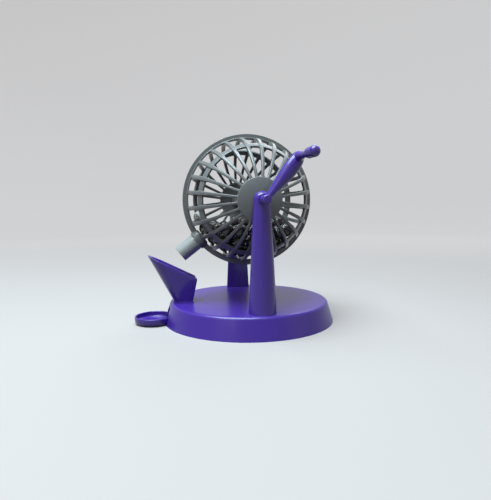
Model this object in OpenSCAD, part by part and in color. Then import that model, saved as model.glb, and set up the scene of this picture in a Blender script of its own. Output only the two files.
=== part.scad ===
// Table-top bingo cage: a ball cage of two moulded halves turns on an axle between two posts, a crank drives
// it, and a ball that leaves the outlet tube falls through a hopper onto a ramp and rolls into a dish.
// Millimetres. X to the right, Y away from the crank side, Z up. The origin is the base's centre on the table.

/* [Base] */
// Width of the deck beyond the posts' feet, with its rounded edge
deck_margin = 4.2; // [3.8:0.1:8]
// Height of the deck above the table
deck_z = 25; // [24:0.5:32]
// Radius of the deck's rounded edge
deck_edge = 4.5; // [3.5:0.25:5.5]
// Flare of the skirt beyond the deck, at the table
skirt_flare = 6.5; // [4.5:0.25:12]
// Wall of the base
base_wall = 2.4; // [1.8:0.1:3]
// Number of stiffening ribs under the deck
deck_ribs = 8; // [4:4:8]
// Depth of the stiffening ribs
deck_rib_h = 6; // [3:0.5:10]
// Radius of the pillar under the deck's centre
pillar_r = 5; // [4:0.5:8]

/* [Posts] */
// Gap between the cage's ribs and a post's flat inner face
post_gap = 3.3; // [3:0.1:4.5]
// Radius of the half-round post at the deck
post_foot_r = 15.8; // [13:0.2:16.5]
// Radius of the half-round post at the axle
post_top_r = 9.4; // [8.5:0.2:11]
// Wall of a post, which is hollow from its foot
post_wall = 2.4; // [1.8:0.1:3]

/* [Cage] */
// Inner radius of the cage's ribs
cage_r = 71; // [69:0.5:71.5]
// Thickness of a rib, measured outwards
rib_t = 4.2; // [3.4:0.2:5]
// Number of ribs on each half
rib_count = 24; // [22:2:28]
// Width of a rib at the equator
rib_w = 4.6; // [4:0.2:6]
// Width of a rib at the hub
rib_hub_w = 2.8; // [2:0.2:3.4]
// Radius of the hub dome
hub_r = 25; // [20:0.5:30]
// Radius of the hoop's middle, seen along the axle
hoop_r = 61.8; // [50:0.2:64]
// Width of the hoop, seen along the axle
hoop_w = 4.4; // [3:0.2:6]
// Width of the equator band on each half
band_w = 4.5; // [3:0.25:6]
// Thickness of the equator band
band_t = 2.2; // [1.8:0.2:3]
// Width of the rim flange beyond the ribs
flange_w = 4.8; // [4.6:0.1:8]
// Thickness of the rim flange on each half
flange_t = 2; // [1.5:0.25:3]
// Number of screws round the rim
rim_screws = 6; // [4:2:12]

/* [Outlet tube] */
// Outer diameter of the tube
tube_d = 20; // [19.6:0.2:22]
// Wall of the tube
tube_wall = 1.6; // [1.2:0.1:1.8]
// Length of the tube beyond the rim
tube_out = 26; // [16:0.5:30]
// Height at which the turning tube's mouth clears the deck
tube_clear = 17; // [15:0.5:30]
// Direction of the tube round the axle, from the right
tube_a = 217.5; // [202.5:15:232.5]

/* [Crank] */
// Radius of the crank from the axle to the knob
crank_len = 55; // [45:1:60]
// Direction of the crank round the axle, from the right
crank_a = 52.5; // [0:7.5:352.5]
// Radius of the arm at the axle
arm_root_r = 4.4; // [4.2:0.2:5.4]
// Radius of the arm at its end
arm_end_r = 7; // [6:0.2:7.6]
// Distance of the arm's middle from the post's bearing face
arm_out = 11.8; // [10.4:0.2:16]
// Length of the knob
knob_len = 49; // [44:1:56]
// Radius of the knob's bulb
bulb_r = 5.6; // [5:0.2:7]
// Radius of the knob's waist
waist_r = 3.4; // [3.2:0.1:4.2]
// Radius of the knob where it meets the arm
collar_r = 5.4; // [4.8:0.2:6]

/* [Shafts] */
// Radius of the round shafts in the posts' bearings
shaft_r = 4; // [3.6:0.1:4.4]
// Side of the square drives in the hubs and the arm
drive_w = 5; // [4.4:0.1:5.2]
// Radius of the knob's pin
pin_r = 2; // [1.6:0.1:2.1]

/* [Hopper] */
// Height of the mouth's high lip above the deck
mouth_high = 58.5; // [52:0.5:66]
// Height of the mouth's low lip above the deck
mouth_low = 29; // [24:0.5:30]
// Overhang of the high lip beyond the outer foot
mouth_out = 30.9; // [25:0.1:36]
// Overhang of the low lip beyond the inner foot
mouth_in = 5.8; // [3:0.1:8]
// Distance of the hopper's outer foot from the deck's edge
foot_edge = 5.9; // [5.5:0.1:7]
// Length of the hopper's foot
foot_len = 21.8; // [20:0.1:23]
// Half the hopper's width at the deck
foot_w = 10.5; // [10.3:0.1:11.2]
// Half the hopper's width gained per millimetre of height
side_slope = 0.115; // [0.09:0.005:0.14]
// Wall of the hopper
hopper_wall = 2; // [1.4:0.1:2]

/* [Tray] */
// Distance of the dish's centre beyond the skirt
dish_out = 12.5; // [9:0.5:18]
// Radius of the dish
dish_r = 23.2; // [20:0.2:26]
// Height of the dish's rim
dish_h = 9.4; // [8:0.2:12]
// Wall of the dish and its tongue
tray_wall = 2; // [1.4:0.1:2.4]
// Half the inner width of the tongue that the ball rolls along
lane_w = 8.6; // [8.2:0.1:8.8]
// Slope of the tongue
lane_slope = 7.5; // [5:0.5:8]

/* [Balls] */
// Diameter of a numbered ball
ball_d = 15; // [14.2:0.2:15.4]
// Number of rings of balls round the lowest one in the heap's outer layer
heap_rings = 4; // [3:1:4]
// Rise of the heap's middle above its outer layer
heap_rise = 6.3; // [0:0.1:8]
// Lean of the heap of balls to the left
heap_lean = 2; // [0:1:8]

/* [Clearances] */
// Running clearance between a shaft and its bore, on the radius
run_gap = 0.05; // [0.02:0.01:0.1]
// Clearance between pieces that are fixed together
fit_gap = 0.05; // [0.02:0.01:0.1]
// Clearance between pieces that move past each other
slide_gap = 0.6; // [0.4:0.1:1]
// Clearance between pieces that stand side by side
side_gap = 0.3; // [0.2:0.1:0.5]

/* [Screws] */
// Radius of the screws in the base and the hubs
screw_r = 1.5; // [1.2:0.1:1.7]
// Radius of the rim screws
rim_screw_r = 0.9; // [0.7:0.1:1.1]

/* [Hidden] */
$fn = 96;

violet = [0.29, 0.25, 0.62];
grey = [0.56, 0.57, 0.57];
steel = [0.72, 0.72, 0.74];
ivory = [0.93, 0.92, 0.88];
brown = [0.16, 0.12, 0.13];

// A length that is longer than any cut needs
far = 400;
// How far a joined shape reaches into its neighbour, and a cut past a face
bite = 0.5;
// How far a line passes inside the circle that it runs into
seam = 0.02;

// Places that follow from the cage outwards: rim, posts, tube, axle, base, hopper and dish
rib_r = cage_r + rib_t;
flange_r = rib_r + flange_w;
post_y = rib_r + post_gap;
tube_reach = flange_r + tube_out;
axle_z = deck_z + tube_reach + tube_clear;
deck_r = post_y + post_foot_r + deck_margin;
skirt_r = deck_r + skirt_flare;
foot_x_out = deck_r - foot_edge;
foot_x_in = foot_x_out - foot_len;
mouth_x_high = foot_x_out + mouth_out;
mouth_x_low = foot_x_in - mouth_in;
dish_x = skirt_r + dish_out;

// Centre of the deck's rounded edge, and the direction of the skirt's outward normal
edge_c = [deck_r - deck_edge, deck_z - deck_edge];
skirt_n = atan2(edge_c.y, edge_c.x - skirt_r) - asin(deck_edge / norm(edge_c - [skirt_r, 0])) - 90;
deck_under = deck_z - base_wall;

// Screws: head sizes and lengths
head_r = 2 * screw_r;
head_h = 1.4 * screw_r;
post_screw_len = 12;
tray_screw_len = 11;
hub_screw_len = 10;
screw_boss_r = 2.6 * screw_r;

// Post: where its two screws stand, and the flat round boss of its bearing
post_screw_x = 0.5 * post_foot_r;
post_screw_y = post_y + 0.42 * post_foot_r;
post_face_y = post_y + post_top_r + side_gap;
post_boss_r = post_top_r - 3;

// Cage: radii of rings, dome and band, and the hub's boss along the axle
ring_in = cage_r + 0.1 * rib_t;
ring_out = rib_r - 0.3 * rib_t;
hub_out = rib_r + 0.5;
band_out = rib_r + 0.4;
rib_pitch = 360 / rib_count;
hub_boss_r = 8;
hub_face_y = post_y - slide_gap;
hub_in_y = hub_face_y - 14;
washer_t = 1.4;
washer_r = 6.5;
rim_screw_ring = (rib_r + flange_r) / 2 + 0.2;
rim_head_r = 1.7;
rim_head_h = 1;

// Outlet tube: its seat between the halves and the lip that the seat holds
tube_r = tube_d / 2;
seat_t = 1.7;
seat_r = tube_r + fit_gap + seat_t;
seat_from = rib_r - 2.7;
seat_to = flange_r + 1.2;
lip_from = flange_r - 3.5;
lip_t = 2;
lip_h = 0.7;

// Crank
arm_in_y = post_face_y + side_gap;
arm_y = post_face_y + arm_out;
arm_out_y = arm_y + arm_root_r + 0.4;
arm_boss_r = arm_root_r + 0.6;
boss_chamfer = 2;
drive_depth = 10;
knob_y = arm_y + 0.9 * arm_end_r;
bulb_y = knob_len - bulb_r;
waist_at = 0.3 * knob_len;
waist_sweep = 1.1 * knob_len;
pin_len = 0.56 * knob_len;
pin_head_r = pin_r + 0.6;
pin_head_len = 3;
pin_sink = 0.8 * arm_end_r;
crank_end = crank_len * [cos(crank_a), 0, sin(crank_a)] + [0, 0, axle_z];

// Hopper: the back is a leaning cone, and both sides are planes that meet it in one apex, just inside its width
back_lean = atan2(mouth_x_high - foot_x_out, mouth_high);
cone_lean = lean_of(back_lean, side_slope);
cone_a = back_lean - cone_lean;
apex_z = deck_z - foot_w / side_slope;
apex = [-foot_x_out + (deck_z - apex_z) * tan(back_lean), 0, apex_z];
cone_axis = [-sin(cone_lean), 0, cos(cone_lean)];
wall_slope = 0.985 * side_slope;
touch = cone_axis + sin(cone_a) / sqrt(1 + side_slope ^ 2) * [0, 1, -side_slope];
spigot_h = 4.6;
lip_plate = 1.5;
hopper_lip = 1.2;
hook_w = 5;
hook_out = 1.4;
hook_x = (foot_x_in + foot_x_out) / 2 - 4;

// Tray: the tongue's floor line, the doorway that it passes and its ears
dish_round = 5;
lane_end_x = foot_x_in - 6;
lane_floor_z = 2.6;
lane_low_x = skirt_r - 4;
lane_out_w = lane_w + tray_wall;
lane_side_h = dish_h - lane_floor_z;
door_gap = 0.6;
door_h = 19.6;
ear_len = 10;
ear_z = lane_z(lane_end_x) - 1.2;
ear_t = 2.2;
tray_screw_x = lane_end_x - 5.5;
tray_screw_y = lane_out_w - 2;

// Balls: their spacing in the heap and the reach of its outer layer from the cage's centre
ball_r = ball_d / 2;
ball_gap = 0.4;
ball_step = ball_d + ball_gap;
heap_r = cage_r - ball_step / 2 - ball_gap / 2;
heap_layers = 3;
heap_depth = heap_r * cos(ring_tilt(heap_rings, heap_r) + heap_lean) - heap_rise;

// Lean of the cone's axis for which planes of a given side slope touch a cone whose back leans by a given angle
function lean_of(back, slope, lean = 0, turns = 12) = turns == 0 ? lean
    : lean_of(back, slope, back - asin(slope / sqrt(1 + slope ^ 2) * cos(lean)), turns - 1);

// Height of the tongue's floor at a distance from the middle
function lane_z(x) = lane_floor_z + (lane_low_x - x) * tan(lane_slope);

// Shared shapes

// A pan-head screw that points up from its head's underside at the origin
module screw(r, len, head_r, head_h) {
    rotate_extrude() {
        translate([0, -head_h]) square([head_r - head_h / 2, head_h]);
        intersection() {
            translate([head_r - head_h, 0]) circle(r = head_h);
            translate([0, -2 * head_h]) square([2 * head_r, 2 * head_h]);
        }
        translate([0, -bite]) square([r, len - r + bite]);
        polygon([[0, len - r], [r, len - r], [r / 3, len], [0, len]]);
    }
}

// Lays a shape that is modelled round +Z onto the axle, with its top towards the crank side or the back
module on_axle(side) {
    translate([0, 0, axle_z]) rotate([-90 * side, 0, 0]) children();
}

// The base's solid outline, drawn in by a wall
module base_form(inset, below = 0) {
    rotate_extrude() {
        polygon([
            [0, -below],
            [skirt_r - inset / cos(skirt_n) + below * tan(skirt_n), -below],
            edge_c + (deck_edge - inset - seam) * [cos(skirt_n), sin(skirt_n)],
            [edge_c.x, deck_z - inset],
            [0, deck_z - inset]
        ]);
        translate(edge_c) circle(r = deck_edge - inset);
    }
}

// The hopper's solid form, drawn in by a wall, from below the deck to above the mouth
module hopper_form(inset) {
    shift = inset / sin(cone_a) * cone_axis;
    tip = apex + shift;
    low = deck_z - tip.z - 2 * spigot_h;
    high = deck_z + 1.4 * mouth_high - tip.z;
    inner_lean = (foot_x_in - mouth_x_low) / mouth_low;
    translate(tip) {
        rotate([0, -cone_lean, 0]) translate([0, 0, low])
            cylinder(h = high - low, r1 = low * tan(cone_a), r2 = high * tan(cone_a));
        intersection() {
            rotate([90, 0, 0]) linear_extrude(far, center = true) polygon([
                [low * touch.x / touch.z, low],
                [-foot_x_in - inset - tip.x + (tip.z + low - deck_z) * inner_lean, low],
                [-foot_x_in - inset - tip.x + (tip.z + high - deck_z) * inner_lean, high],
                [high * touch.x / touch.z, high]
            ]);
            rotate([90, 0, 90]) linear_extrude(far, center = true) polygon([
                [-low * wall_slope, low], [low * wall_slope, low],
                [high * wall_slope, high], [-high * wall_slope, high]
            ]);
        }
    }
}

// Everything below the hopper's mouth and above the end of its spigot
module hopper_limits() {
    rise = (mouth_high - mouth_low) / (mouth_x_high - mouth_x_low);
    rotate([90, 0, 0]) linear_extrude(far, center = true) polygon([
        [-mouth_x_high - mouth_low, deck_z - spigot_h],
        [-mouth_x_low + mouth_low, deck_z - spigot_h],
        [-mouth_x_low + mouth_low, deck_z + mouth_low - mouth_low * rise],
        [-mouth_x_high - mouth_low, deck_z + mouth_high + mouth_low * rise]
    ]);
}

// Half of a post's section through its middle, drawn in by a wall, from a foot's height up
module post_section(inset, foot_z) {
    polygon([
        [0, foot_z], [post_foot_r - inset, foot_z], [post_top_r - inset, axle_z], [0, axle_z]
    ]);
    translate([0, axle_z]) intersection() {
        circle(r = post_top_r - inset);
        square(2 * post_top_r);
    }
}

// A cylinder along +Y from the origin
module along_y(r, len) {
    rotate([-90, 0, 0]) rotate([0, 0, 45]) cylinder(h = len, r = r);
}

// A post at the back: a half-round shell with a flat inner face and a solid bearing head, open at its foot
module post() {
    difference() {
        translate([0, post_y, 0]) {
            difference() {
                rotate_extrude(angle = 180) post_section(0, deck_z);
                intersection() {
                    rotate_extrude() intersection() {
                        post_section(post_wall, deck_z - bite);
                        square([far, axle_z - post_top_r]);
                    }
                    translate([-far / 2, post_wall, 0]) cube(far);
                }
            }
            translate([0, post_top_r / 2, axle_z]) along_y(post_boss_r, post_face_y - post_y - post_top_r / 2);
            for (s = [-1, 1])
                translate([s * post_screw_x, post_screw_y - post_y, deck_z])
                    cylinder(h = post_screw_len, r = screw_boss_r);
        }
        translate([0, post_y - bite, axle_z]) along_y(shaft_r + run_gap, far);
        for (s = [-1, 1])
            translate([s * post_screw_x, post_screw_y, deck_z - bite])
                cylinder(h = post_screw_len - base_wall + bite + 1, r = screw_r + fit_gap);
    }
}

// One rib as seen along the axle
module rib_outline() {
    polygon([
        [hub_r - 2, -rib_hub_w / 2], [rib_r + 1, -rib_w / 2],
        [rib_r + 1, rib_w / 2], [hub_r - 2, rib_hub_w / 2]
    ]);
}

// A ring of the cage's shell between two distances from the axle
module shell_ring(from, to, inner, outer) {
    rotate_extrude() intersection() {
        difference() {
            circle(r = outer);
            circle(r = inner);
        }
        translate([from, 0]) square([to - from, outer]);
    }
}

// A square bar along +Z with rounded corners that a round bar would leave
module drive_bar(w, len) {
    translate([-w / 2, -w / 2, 0]) cube([w, w, len]);
}

// Half a cage round +Z, open below, with the tube's seat at an angle
module cage_half(seat_a) {
    difference() {
        union() {
            intersection() {
                difference() {
                    sphere(r = rib_r);
                    sphere(r = cage_r);
                }
                linear_extrude(rib_r + 1) for (i = [0:rib_count - 1])
                    rotate((i + 0.5) * rib_pitch) rib_outline();
            }
            shell_ring(hoop_r - hoop_w / 2, hoop_r + hoop_w / 2, ring_in, ring_out);
            shell_ring(0, hub_r, ring_in, hub_out);
            rotate_extrude() {
                translate([band_out - band_t, 0]) square([band_t, band_w]);
                translate([band_out - bite, 0]) square([flange_r - band_out + bite, flange_t]);
                translate([0, hub_in_y]) square([hub_boss_r, hub_face_y - hub_in_y]);
            }
            rotate([0, 90, seat_a]) rotate([0, 0, 90]) rotate_extrude(angle = 180)
                translate([tube_r, seat_from]) square([seat_r - tube_r, seat_to - seat_from]);
        }
        rotate([0, 90, seat_a]) {
            translate([0, 0, cage_r - 10]) cylinder(h = far, r = tube_r + fit_gap);
            translate([0, 0, lip_from - fit_gap])
                cylinder(h = lip_t + 2 * fit_gap, r = tube_r + lip_h + 2 * fit_gap);
        }
        translate([0, 0, hub_in_y - bite]) drive_bar(drive_w + 2 * fit_gap, far);
        for (i = [0:rim_screws - 1])
            rotate(i * 360 / rim_screws) translate([rim_screw_ring, 0, -bite])
                cylinder(h = flange_t + 2 * bite, r = rim_screw_r + fit_gap);
    }
}

// A shaft's journal and inner drive round +Z, from the hub's inner face out to a height
module journal(top) {
    difference() {
        union() {
            translate([0, 0, hub_in_y + fit_gap]) drive_bar(drive_w, hub_face_y - hub_in_y);
            translate([0, 0, hub_face_y + fit_gap]) cylinder(h = top - hub_face_y - fit_gap, r = shaft_r);
        }
        translate([0, 0, hub_in_y - bite]) cylinder(h = hub_screw_len + 1, r = screw_r + fit_gap);
    }
}

// Pieces of the stand

module base() {
    color(violet) difference() {
        union() {
            difference() {
                base_form(0);
                base_form(base_wall, 1);
            }
            intersection() {
                base_form(base_wall / 2);
                for (i = [0:deck_ribs - 1])
                    rotate((i + 0.5) * 360 / deck_ribs)
                        translate([0, -base_wall / 3, deck_under - deck_rib_h])
                            cube([far, base_wall * 2 / 3, deck_rib_h + bite]);
            }
            cylinder(h = deck_under + bite, r = pillar_r);
            for (s = [-1, 1])
                translate([-tray_screw_x, s * tray_screw_y, ear_z + ear_t + fit_gap])
                    cylinder(h = deck_under + bite - ear_z - ear_t, r = screw_boss_r);
        }
        intersection() {
            hopper_form(-side_gap / 2);
            translate([-far, -far / 2, deck_under - 1]) cube([far, far, base_wall + 2]);
        }
        translate([-skirt_r - 5, -lane_out_w - door_gap, -1])
            cube([20, 2 * (lane_out_w + door_gap), door_h + 1]);
        for (s = [-1, 1], t = [-1, 1])
            translate([s * post_screw_x, t * post_screw_y, 0]) cylinder(h = far, r = screw_r + 3 * fit_gap);
        for (s = [-1, 1])
            translate([-tray_screw_x, s * tray_screw_y, 0])
                cylinder(h = ear_z + tray_screw_len + 1, r = screw_r + fit_gap);
    }
}

// The dish's turned section or that of its hollow, with a rounded foot
module dish_section(inset, floor_z) {
    round = dish_round - inset;
    translate([dish_r - dish_round, floor_z + round]) circle(r = round);
    translate([0, floor_z]) square([dish_r - dish_round, far]);
    translate([0, floor_z + round]) square([dish_r - inset, far]);
}

// The hollow of the dish
module dish_hollow() {
    translate([-dish_x, 0, 0]) rotate_extrude() intersection() {
        dish_section(tray_wall, lane_floor_z);
        square([dish_r, 2 * dish_h]);
    }
}

// The solid dish with a rounded rim
module dish() {
    translate([-dish_x, 0, 0]) rotate_extrude() {
        intersection() {
            dish_section(0, 0);
            square([dish_r + 1, dish_h - tray_wall / 2]);
        }
        translate([dish_r - tray_wall / 2, dish_h - tray_wall / 2]) circle(r = tray_wall / 2);
    }
}

// Side view of the tongue between two heights over its sloping floor
module lane_side(below, above) {
    polygon([
        [-dish_x, lane_floor_z + below], [-lane_low_x, lane_floor_z + below],
        [-lane_end_x, lane_z(lane_end_x) + below], [-lane_end_x, lane_z(lane_end_x) + above],
        [-lane_low_x, lane_floor_z + above], [-dish_x, lane_floor_z + above]
    ]);
}

module ball_tray() {
    color(violet) difference() {
        union() {
            difference() {
                dish();
                base_form(-side_gap);
            }
            rotate([90, 0, 0]) linear_extrude(2 * lane_out_w, center = true)
                lane_side(-0.8 * tray_wall, lane_side_h);
            translate([-lane_end_x - bite, -lane_out_w - 2, ear_z])
                cube([ear_len + bite, 2 * lane_out_w + 4, ear_t]);
        }
        rotate([90, 0, 0]) linear_extrude(2 * lane_w, center = true) intersection() {
            lane_side(0, far);
            translate([-far, 0]) square([far - lane_end_x - tray_wall, far]);
        }
        dish_hollow();
        for (s = [-1, 1])
            translate([-tray_screw_x, s * tray_screw_y, 0]) cylinder(h = far, r = screw_r + 3 * fit_gap);
    }
}

module tray_screws() {
    color(steel) for (s = [-1, 1])
        translate([-tray_screw_x, s * tray_screw_y, ear_z - fit_gap])
            screw(screw_r, tray_screw_len, head_r, head_h);
}

module hopper() {
    color(violet) {
        difference() {
            union() {
                intersection() {
                    hopper_form(0);
                    hopper_limits();
                }
                intersection() {
                    hopper_form(-hopper_lip);
                    translate([-far, -far / 2, deck_z]) cube([far, far, lip_plate]);
                }
                for (s = [0, 1]) mirror([0, s, 0])
                    translate([-hook_x, 0, deck_z - spigot_h]) rotate([90, 0, 90])
                        linear_extrude(hook_w, center = true) polygon([
                            [foot_w - hopper_wall, 0], [foot_w - 0.4, 0], [foot_w + hook_out, 1.4],
                            [foot_w + hook_out, spigot_h - base_wall - fit_gap],
                            [foot_w - hopper_wall, spigot_h - base_wall - fit_gap]
                        ]);
            }
            hopper_form(hopper_wall);
        }
    }
}

module rear_post() {
    color(violet) post();
}

module crank_post() {
    color(violet) mirror([0, 1, 0]) post();
}

module post_screws() {
    color(steel) for (s = [-1, 1], t = [-1, 1])
        translate([s * post_screw_x, t * post_screw_y, deck_under - fit_gap])
            screw(screw_r, post_screw_len, head_r, head_h);
}

// Pieces that turn with the cage

module front_cage_half() {
    color(grey) on_axle(-1) cage_half(tube_a);
}

module rear_cage_half() {
    color(grey) on_axle(1) cage_half(-tube_a);
}

module rim_screw_set() {
    color(steel) on_axle(-1) for (i = [0:rim_screws - 1])
        rotate(i * 360 / rim_screws) translate([rim_screw_ring, 0, -flange_t - fit_gap])
            screw(rim_screw_r, 2 * flange_t, rim_head_r, rim_head_h);
}

module outlet_tube() {
    color(grey) on_axle(-1) rotate([0, 90, tube_a]) difference() {
        union() {
            translate([0, 0, cage_r - 4]) cylinder(h = tube_reach - cage_r + 4, r = tube_r);
            translate([0, 0, lip_from]) cylinder(h = lip_t, r = tube_r + lip_h);
        }
        cylinder(h = far, r = tube_r - tube_wall);
        sphere(r = ring_in);
    }
}

module crank_shaft() {
    color(steel) on_axle(-1) {
        journal(arm_in_y - fit_gap);
        translate([0, 0, arm_in_y - bite]) drive_bar(drive_w, drive_depth + bite);
    }
}

module rear_axle() {
    color(violet) on_axle(1) {
        journal(post_face_y + 2 * bite);
        translate([0, 0, post_face_y + side_gap]) intersection() {
            cylinder(h = post_boss_r, r = post_boss_r);
            translate([0, 0, -2 * post_boss_r]) sphere(r = 2.4 * post_boss_r);
        }
    }
}

module hub_washers() {
    color(steel) for (s = [-1, 1]) on_axle(s)
        translate([0, 0, hub_in_y - fit_gap - washer_t]) difference() {
            cylinder(h = washer_t, r = washer_r);
            translate([0, 0, -bite]) cylinder(h = far, r = screw_r + 3 * fit_gap);
        }
}

module hub_screws() {
    color(steel) for (s = [-1, 1]) on_axle(s)
        translate([0, 0, hub_in_y - 2 * fit_gap - washer_t]) screw(screw_r, hub_screw_len, head_r, head_h);
}

// The arm's taper with its round end, round +Z
module arm_taper() {
    rotate_extrude() {
        polygon([[0, 0], [arm_root_r, 0], [arm_end_r, crank_len], [0, crank_len]]);
        translate([0, crank_len]) intersection() {
            circle(r = arm_end_r);
            square(2 * arm_end_r);
        }
    }
}

// The arm's round boss with a chamfered end, round +Z
module arm_boss() {
    len = arm_out_y - arm_in_y;
    rotate_extrude() polygon([
        [0, 0], [arm_boss_r, 0], [arm_boss_r, len - boss_chamfer], [arm_boss_r - boss_chamfer, len], [0, len]
    ]);
}

module crank_arm() {
    color(violet) difference() {
        union() {
            translate([0, -arm_in_y, axle_z]) rotate([90, 0, 0]) arm_boss();
            translate([0, -arm_y, axle_z]) rotate([0, 90 - crank_a, 0]) arm_taper();
        }
        translate([0, -arm_in_y + bite, axle_z]) rotate([90, 0, 0])
            drive_bar(drive_w + 2 * fit_gap, drive_depth + bite + fit_gap);
        translate(crank_end - [0, arm_y - pin_sink, 0]) rotate([90, 0, 0])
            cylinder(h = far, r = pin_r + fit_gap);
        translate(crank_end - [far / 2, knob_y + far, far / 2]) cube(far);
    }
}

// Places a shape round +Z on the knob's axis, from the flat of the arm's end towards the user
module on_knob() {
    translate(crank_end - [0, knob_y, 0]) rotate([90, 0, 0]) children();
}

module knob_pin() {
    color(steel) on_knob() {
        translate([0, 0, arm_y - knob_y - pin_sink + fit_gap])
            cylinder(h = pin_len + knob_y - arm_y + pin_sink - fit_gap, r = pin_r);
        translate([0, 0, pin_len - pin_head_len]) cylinder(h = pin_head_len, r1 = pin_head_r, r2 = pin_r);
    }
}

module crank_knob() {
    color(violet) on_knob() difference() {
        rotate_extrude() {
            difference() {
                translate([0, side_gap]) square([collar_r, bulb_y - side_gap]);
                translate([waist_r + waist_sweep, waist_at]) circle(r = waist_sweep);
            }
            intersection() {
                translate([0, bulb_y]) circle(r = bulb_r);
                square(2 * knob_len);
            }
        }
        cylinder(h = pin_len - pin_head_len - fit_gap, r = pin_r + run_gap);
        translate([0, 0, pin_len - pin_head_len - 2 * fit_gap])
            cylinder(h = pin_head_len + side_gap + 2 * fit_gap, r = pin_head_r + run_gap);
    }
}

// Balls

// Centre of a ball at a tilt from the heap's middle line and a turn round it, at a reach from the cage's centre
function ball_centre(tilt, turn, reach) =
    let (x = reach * sin(tilt) * cos(turn), y = reach * sin(tilt) * sin(turn), z = -reach * cos(tilt))
    [x * cos(heap_lean) + z * sin(heap_lean), y, z * cos(heap_lean) - x * sin(heap_lean)];

// Tilt of a layer's ring of balls, counted from its lowest ball
function ring_tilt(ring, reach) = 2 * ring * asin(ball_step / 2 / reach);

// Number of balls that fit in a ring of a given radius
function ring_balls(ring_r) = ring_r < ball_r ? 1 : floor(180 / asin((ball_r + ball_gap / 20) / ring_r));

// Turn from ball to ball in a ring of a given radius
function ring_space(ring_r) = ring_r < ball_r ? 0
    : min(360 / ring_balls(ring_r), 2 * asin(ball_step / 2 / ring_r));

// Turn of a ball in its ring, counted from the back
function ball_turn(i, ring_r) = 90 + (i + 0.5) * ring_space(ring_r);

// The balls of one layer of the heap, ring by ring up to its level top
module ball_layer(reach) {
    for (ring = [0:floor(90 / ring_tilt(1, reach))]) {
        tilt = ring_tilt(ring, reach);
        ring_r = reach * sin(tilt);
        for (i = [0:ring_balls(ring_r) - 1]) {
            centre = ball_centre(tilt, ball_turn(i, ring_r), reach);
            if (centre.z <= -heap_depth) translate([0, 0, axle_z] + centre) sphere(r = ball_r);
        }
    }
}

module low_balls() {
    color(brown) ball_layer(heap_r);
}

module top_balls() {
    color(brown) for (layer = [1:heap_layers - 1]) ball_layer(heap_r - layer * ball_step);
}

// The white ball lies one ring above the heap's outer layer, over the ball that is farthest to the left
module side_ball() {
    under_r = heap_r * sin(ring_tilt(heap_rings, heap_r));
    turn = ball_turn(round(90 / ring_space(under_r) - 0.5), under_r);
    color(ivory) translate([0, 0, axle_z] + ball_centre(ring_tilt(heap_rings + 1, heap_r), turn, heap_r))
        sphere(r = ball_r);
}

base();
ball_tray();
tray_screws();
hopper();
crank_post();
rear_post();
post_screws();
front_cage_half();
rear_cage_half();
rim_screw_set();
outlet_tube();
crank_shaft();
rear_axle();
hub_washers();
hub_screws();
crank_arm();
knob_pin();
crank_knob();
low_balls();
top_balls();
side_ball();
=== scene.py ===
"""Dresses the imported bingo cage: moulded plastic, numbered balls, real screws and a plain studio."""
from __future__ import annotations

import logging
import math
from dataclasses import dataclass, field
from enum import Enum

import bmesh
import bpy
import numpy as np
from mathutils import Matrix


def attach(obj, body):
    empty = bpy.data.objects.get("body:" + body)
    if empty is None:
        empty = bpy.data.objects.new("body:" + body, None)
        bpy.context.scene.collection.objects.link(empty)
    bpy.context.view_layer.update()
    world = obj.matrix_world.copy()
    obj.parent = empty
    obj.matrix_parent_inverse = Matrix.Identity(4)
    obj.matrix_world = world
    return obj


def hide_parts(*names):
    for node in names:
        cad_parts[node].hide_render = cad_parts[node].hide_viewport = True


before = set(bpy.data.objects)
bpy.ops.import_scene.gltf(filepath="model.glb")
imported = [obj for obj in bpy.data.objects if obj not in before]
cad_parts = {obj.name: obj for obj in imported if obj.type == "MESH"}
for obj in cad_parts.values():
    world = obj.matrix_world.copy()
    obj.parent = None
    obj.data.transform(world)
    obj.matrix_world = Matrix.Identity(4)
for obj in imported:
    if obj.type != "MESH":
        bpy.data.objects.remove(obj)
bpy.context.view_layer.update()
LOG = logging.getLogger("bingo_cage")
Array = np.ndarray
Colour = tuple[float, float, float]
Place = tuple[float, float, float]

MM = 0.001
AXLE_Z = 148 * MM
DECK_Z = 25 * MM
FULL_TURN = 2 * math.pi
WELD = 1e-7
SHARP_EDGE = math.radians(40)
UPRIGHT = 0.9


class Body(Enum):
    """The rigid bodies that new pieces ride on."""

    STAND = "stand"
    CAGE = "cage"


class Side(Enum):
    """The two ends of the axle, as the sign of Y."""

    CRANK = -1
    REAR = 1


class Detail(Enum):
    """How fine noise is, as the number of its octaves."""

    SOFT = 1.0
    PLAIN = 2.0
    RICH = 3.0


# Shader arithmetic


class Value:
    """A shader socket that takes part in Python arithmetic; each operator adds one Math node."""

    def __init__(self, shader: Shader, socket: bpy.types.NodeSocket | None) -> None:
        """Keeps the shader that the socket belongs to."""
        self.shader = shader
        self.socket = socket

    def math(self, operation: str, first: Value | float, second: Value | float) -> Value:
        """Adds a Math node.

        Args:
            operation: The Math node's operation.
            first: Its first input.
            second: Its second input.

        Returns:
            The node's result.
        """
        return self.shader.node("ShaderNodeMath", {"operation": operation}, {0: first, 1: second})

    def __add__(self, other: Value | float) -> Value:
        """The sum."""
        return self.math("ADD", self, other)

    def __sub__(self, other: Value | float) -> Value:
        """The difference."""
        return self.math("SUBTRACT", self, other)

    def __rsub__(self, other: float) -> Value:
        """The difference from a number."""
        return self.math("SUBTRACT", other, self)

    def __mul__(self, other: Value | float) -> Value:
        """The product."""
        return self.math("MULTIPLY", self, other)

    __radd__ = __add__
    __rmul__ = __mul__

    def above(self, low: float, high: float) -> Value:
        """A smooth step from 0 at low to 1 at high."""
        inputs = {"Value": self, "From Min": low, "From Max": high}
        return self.shader.node("ShaderNodeMapRange", {"interpolation_type": "SMOOTHSTEP"}, inputs)


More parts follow.
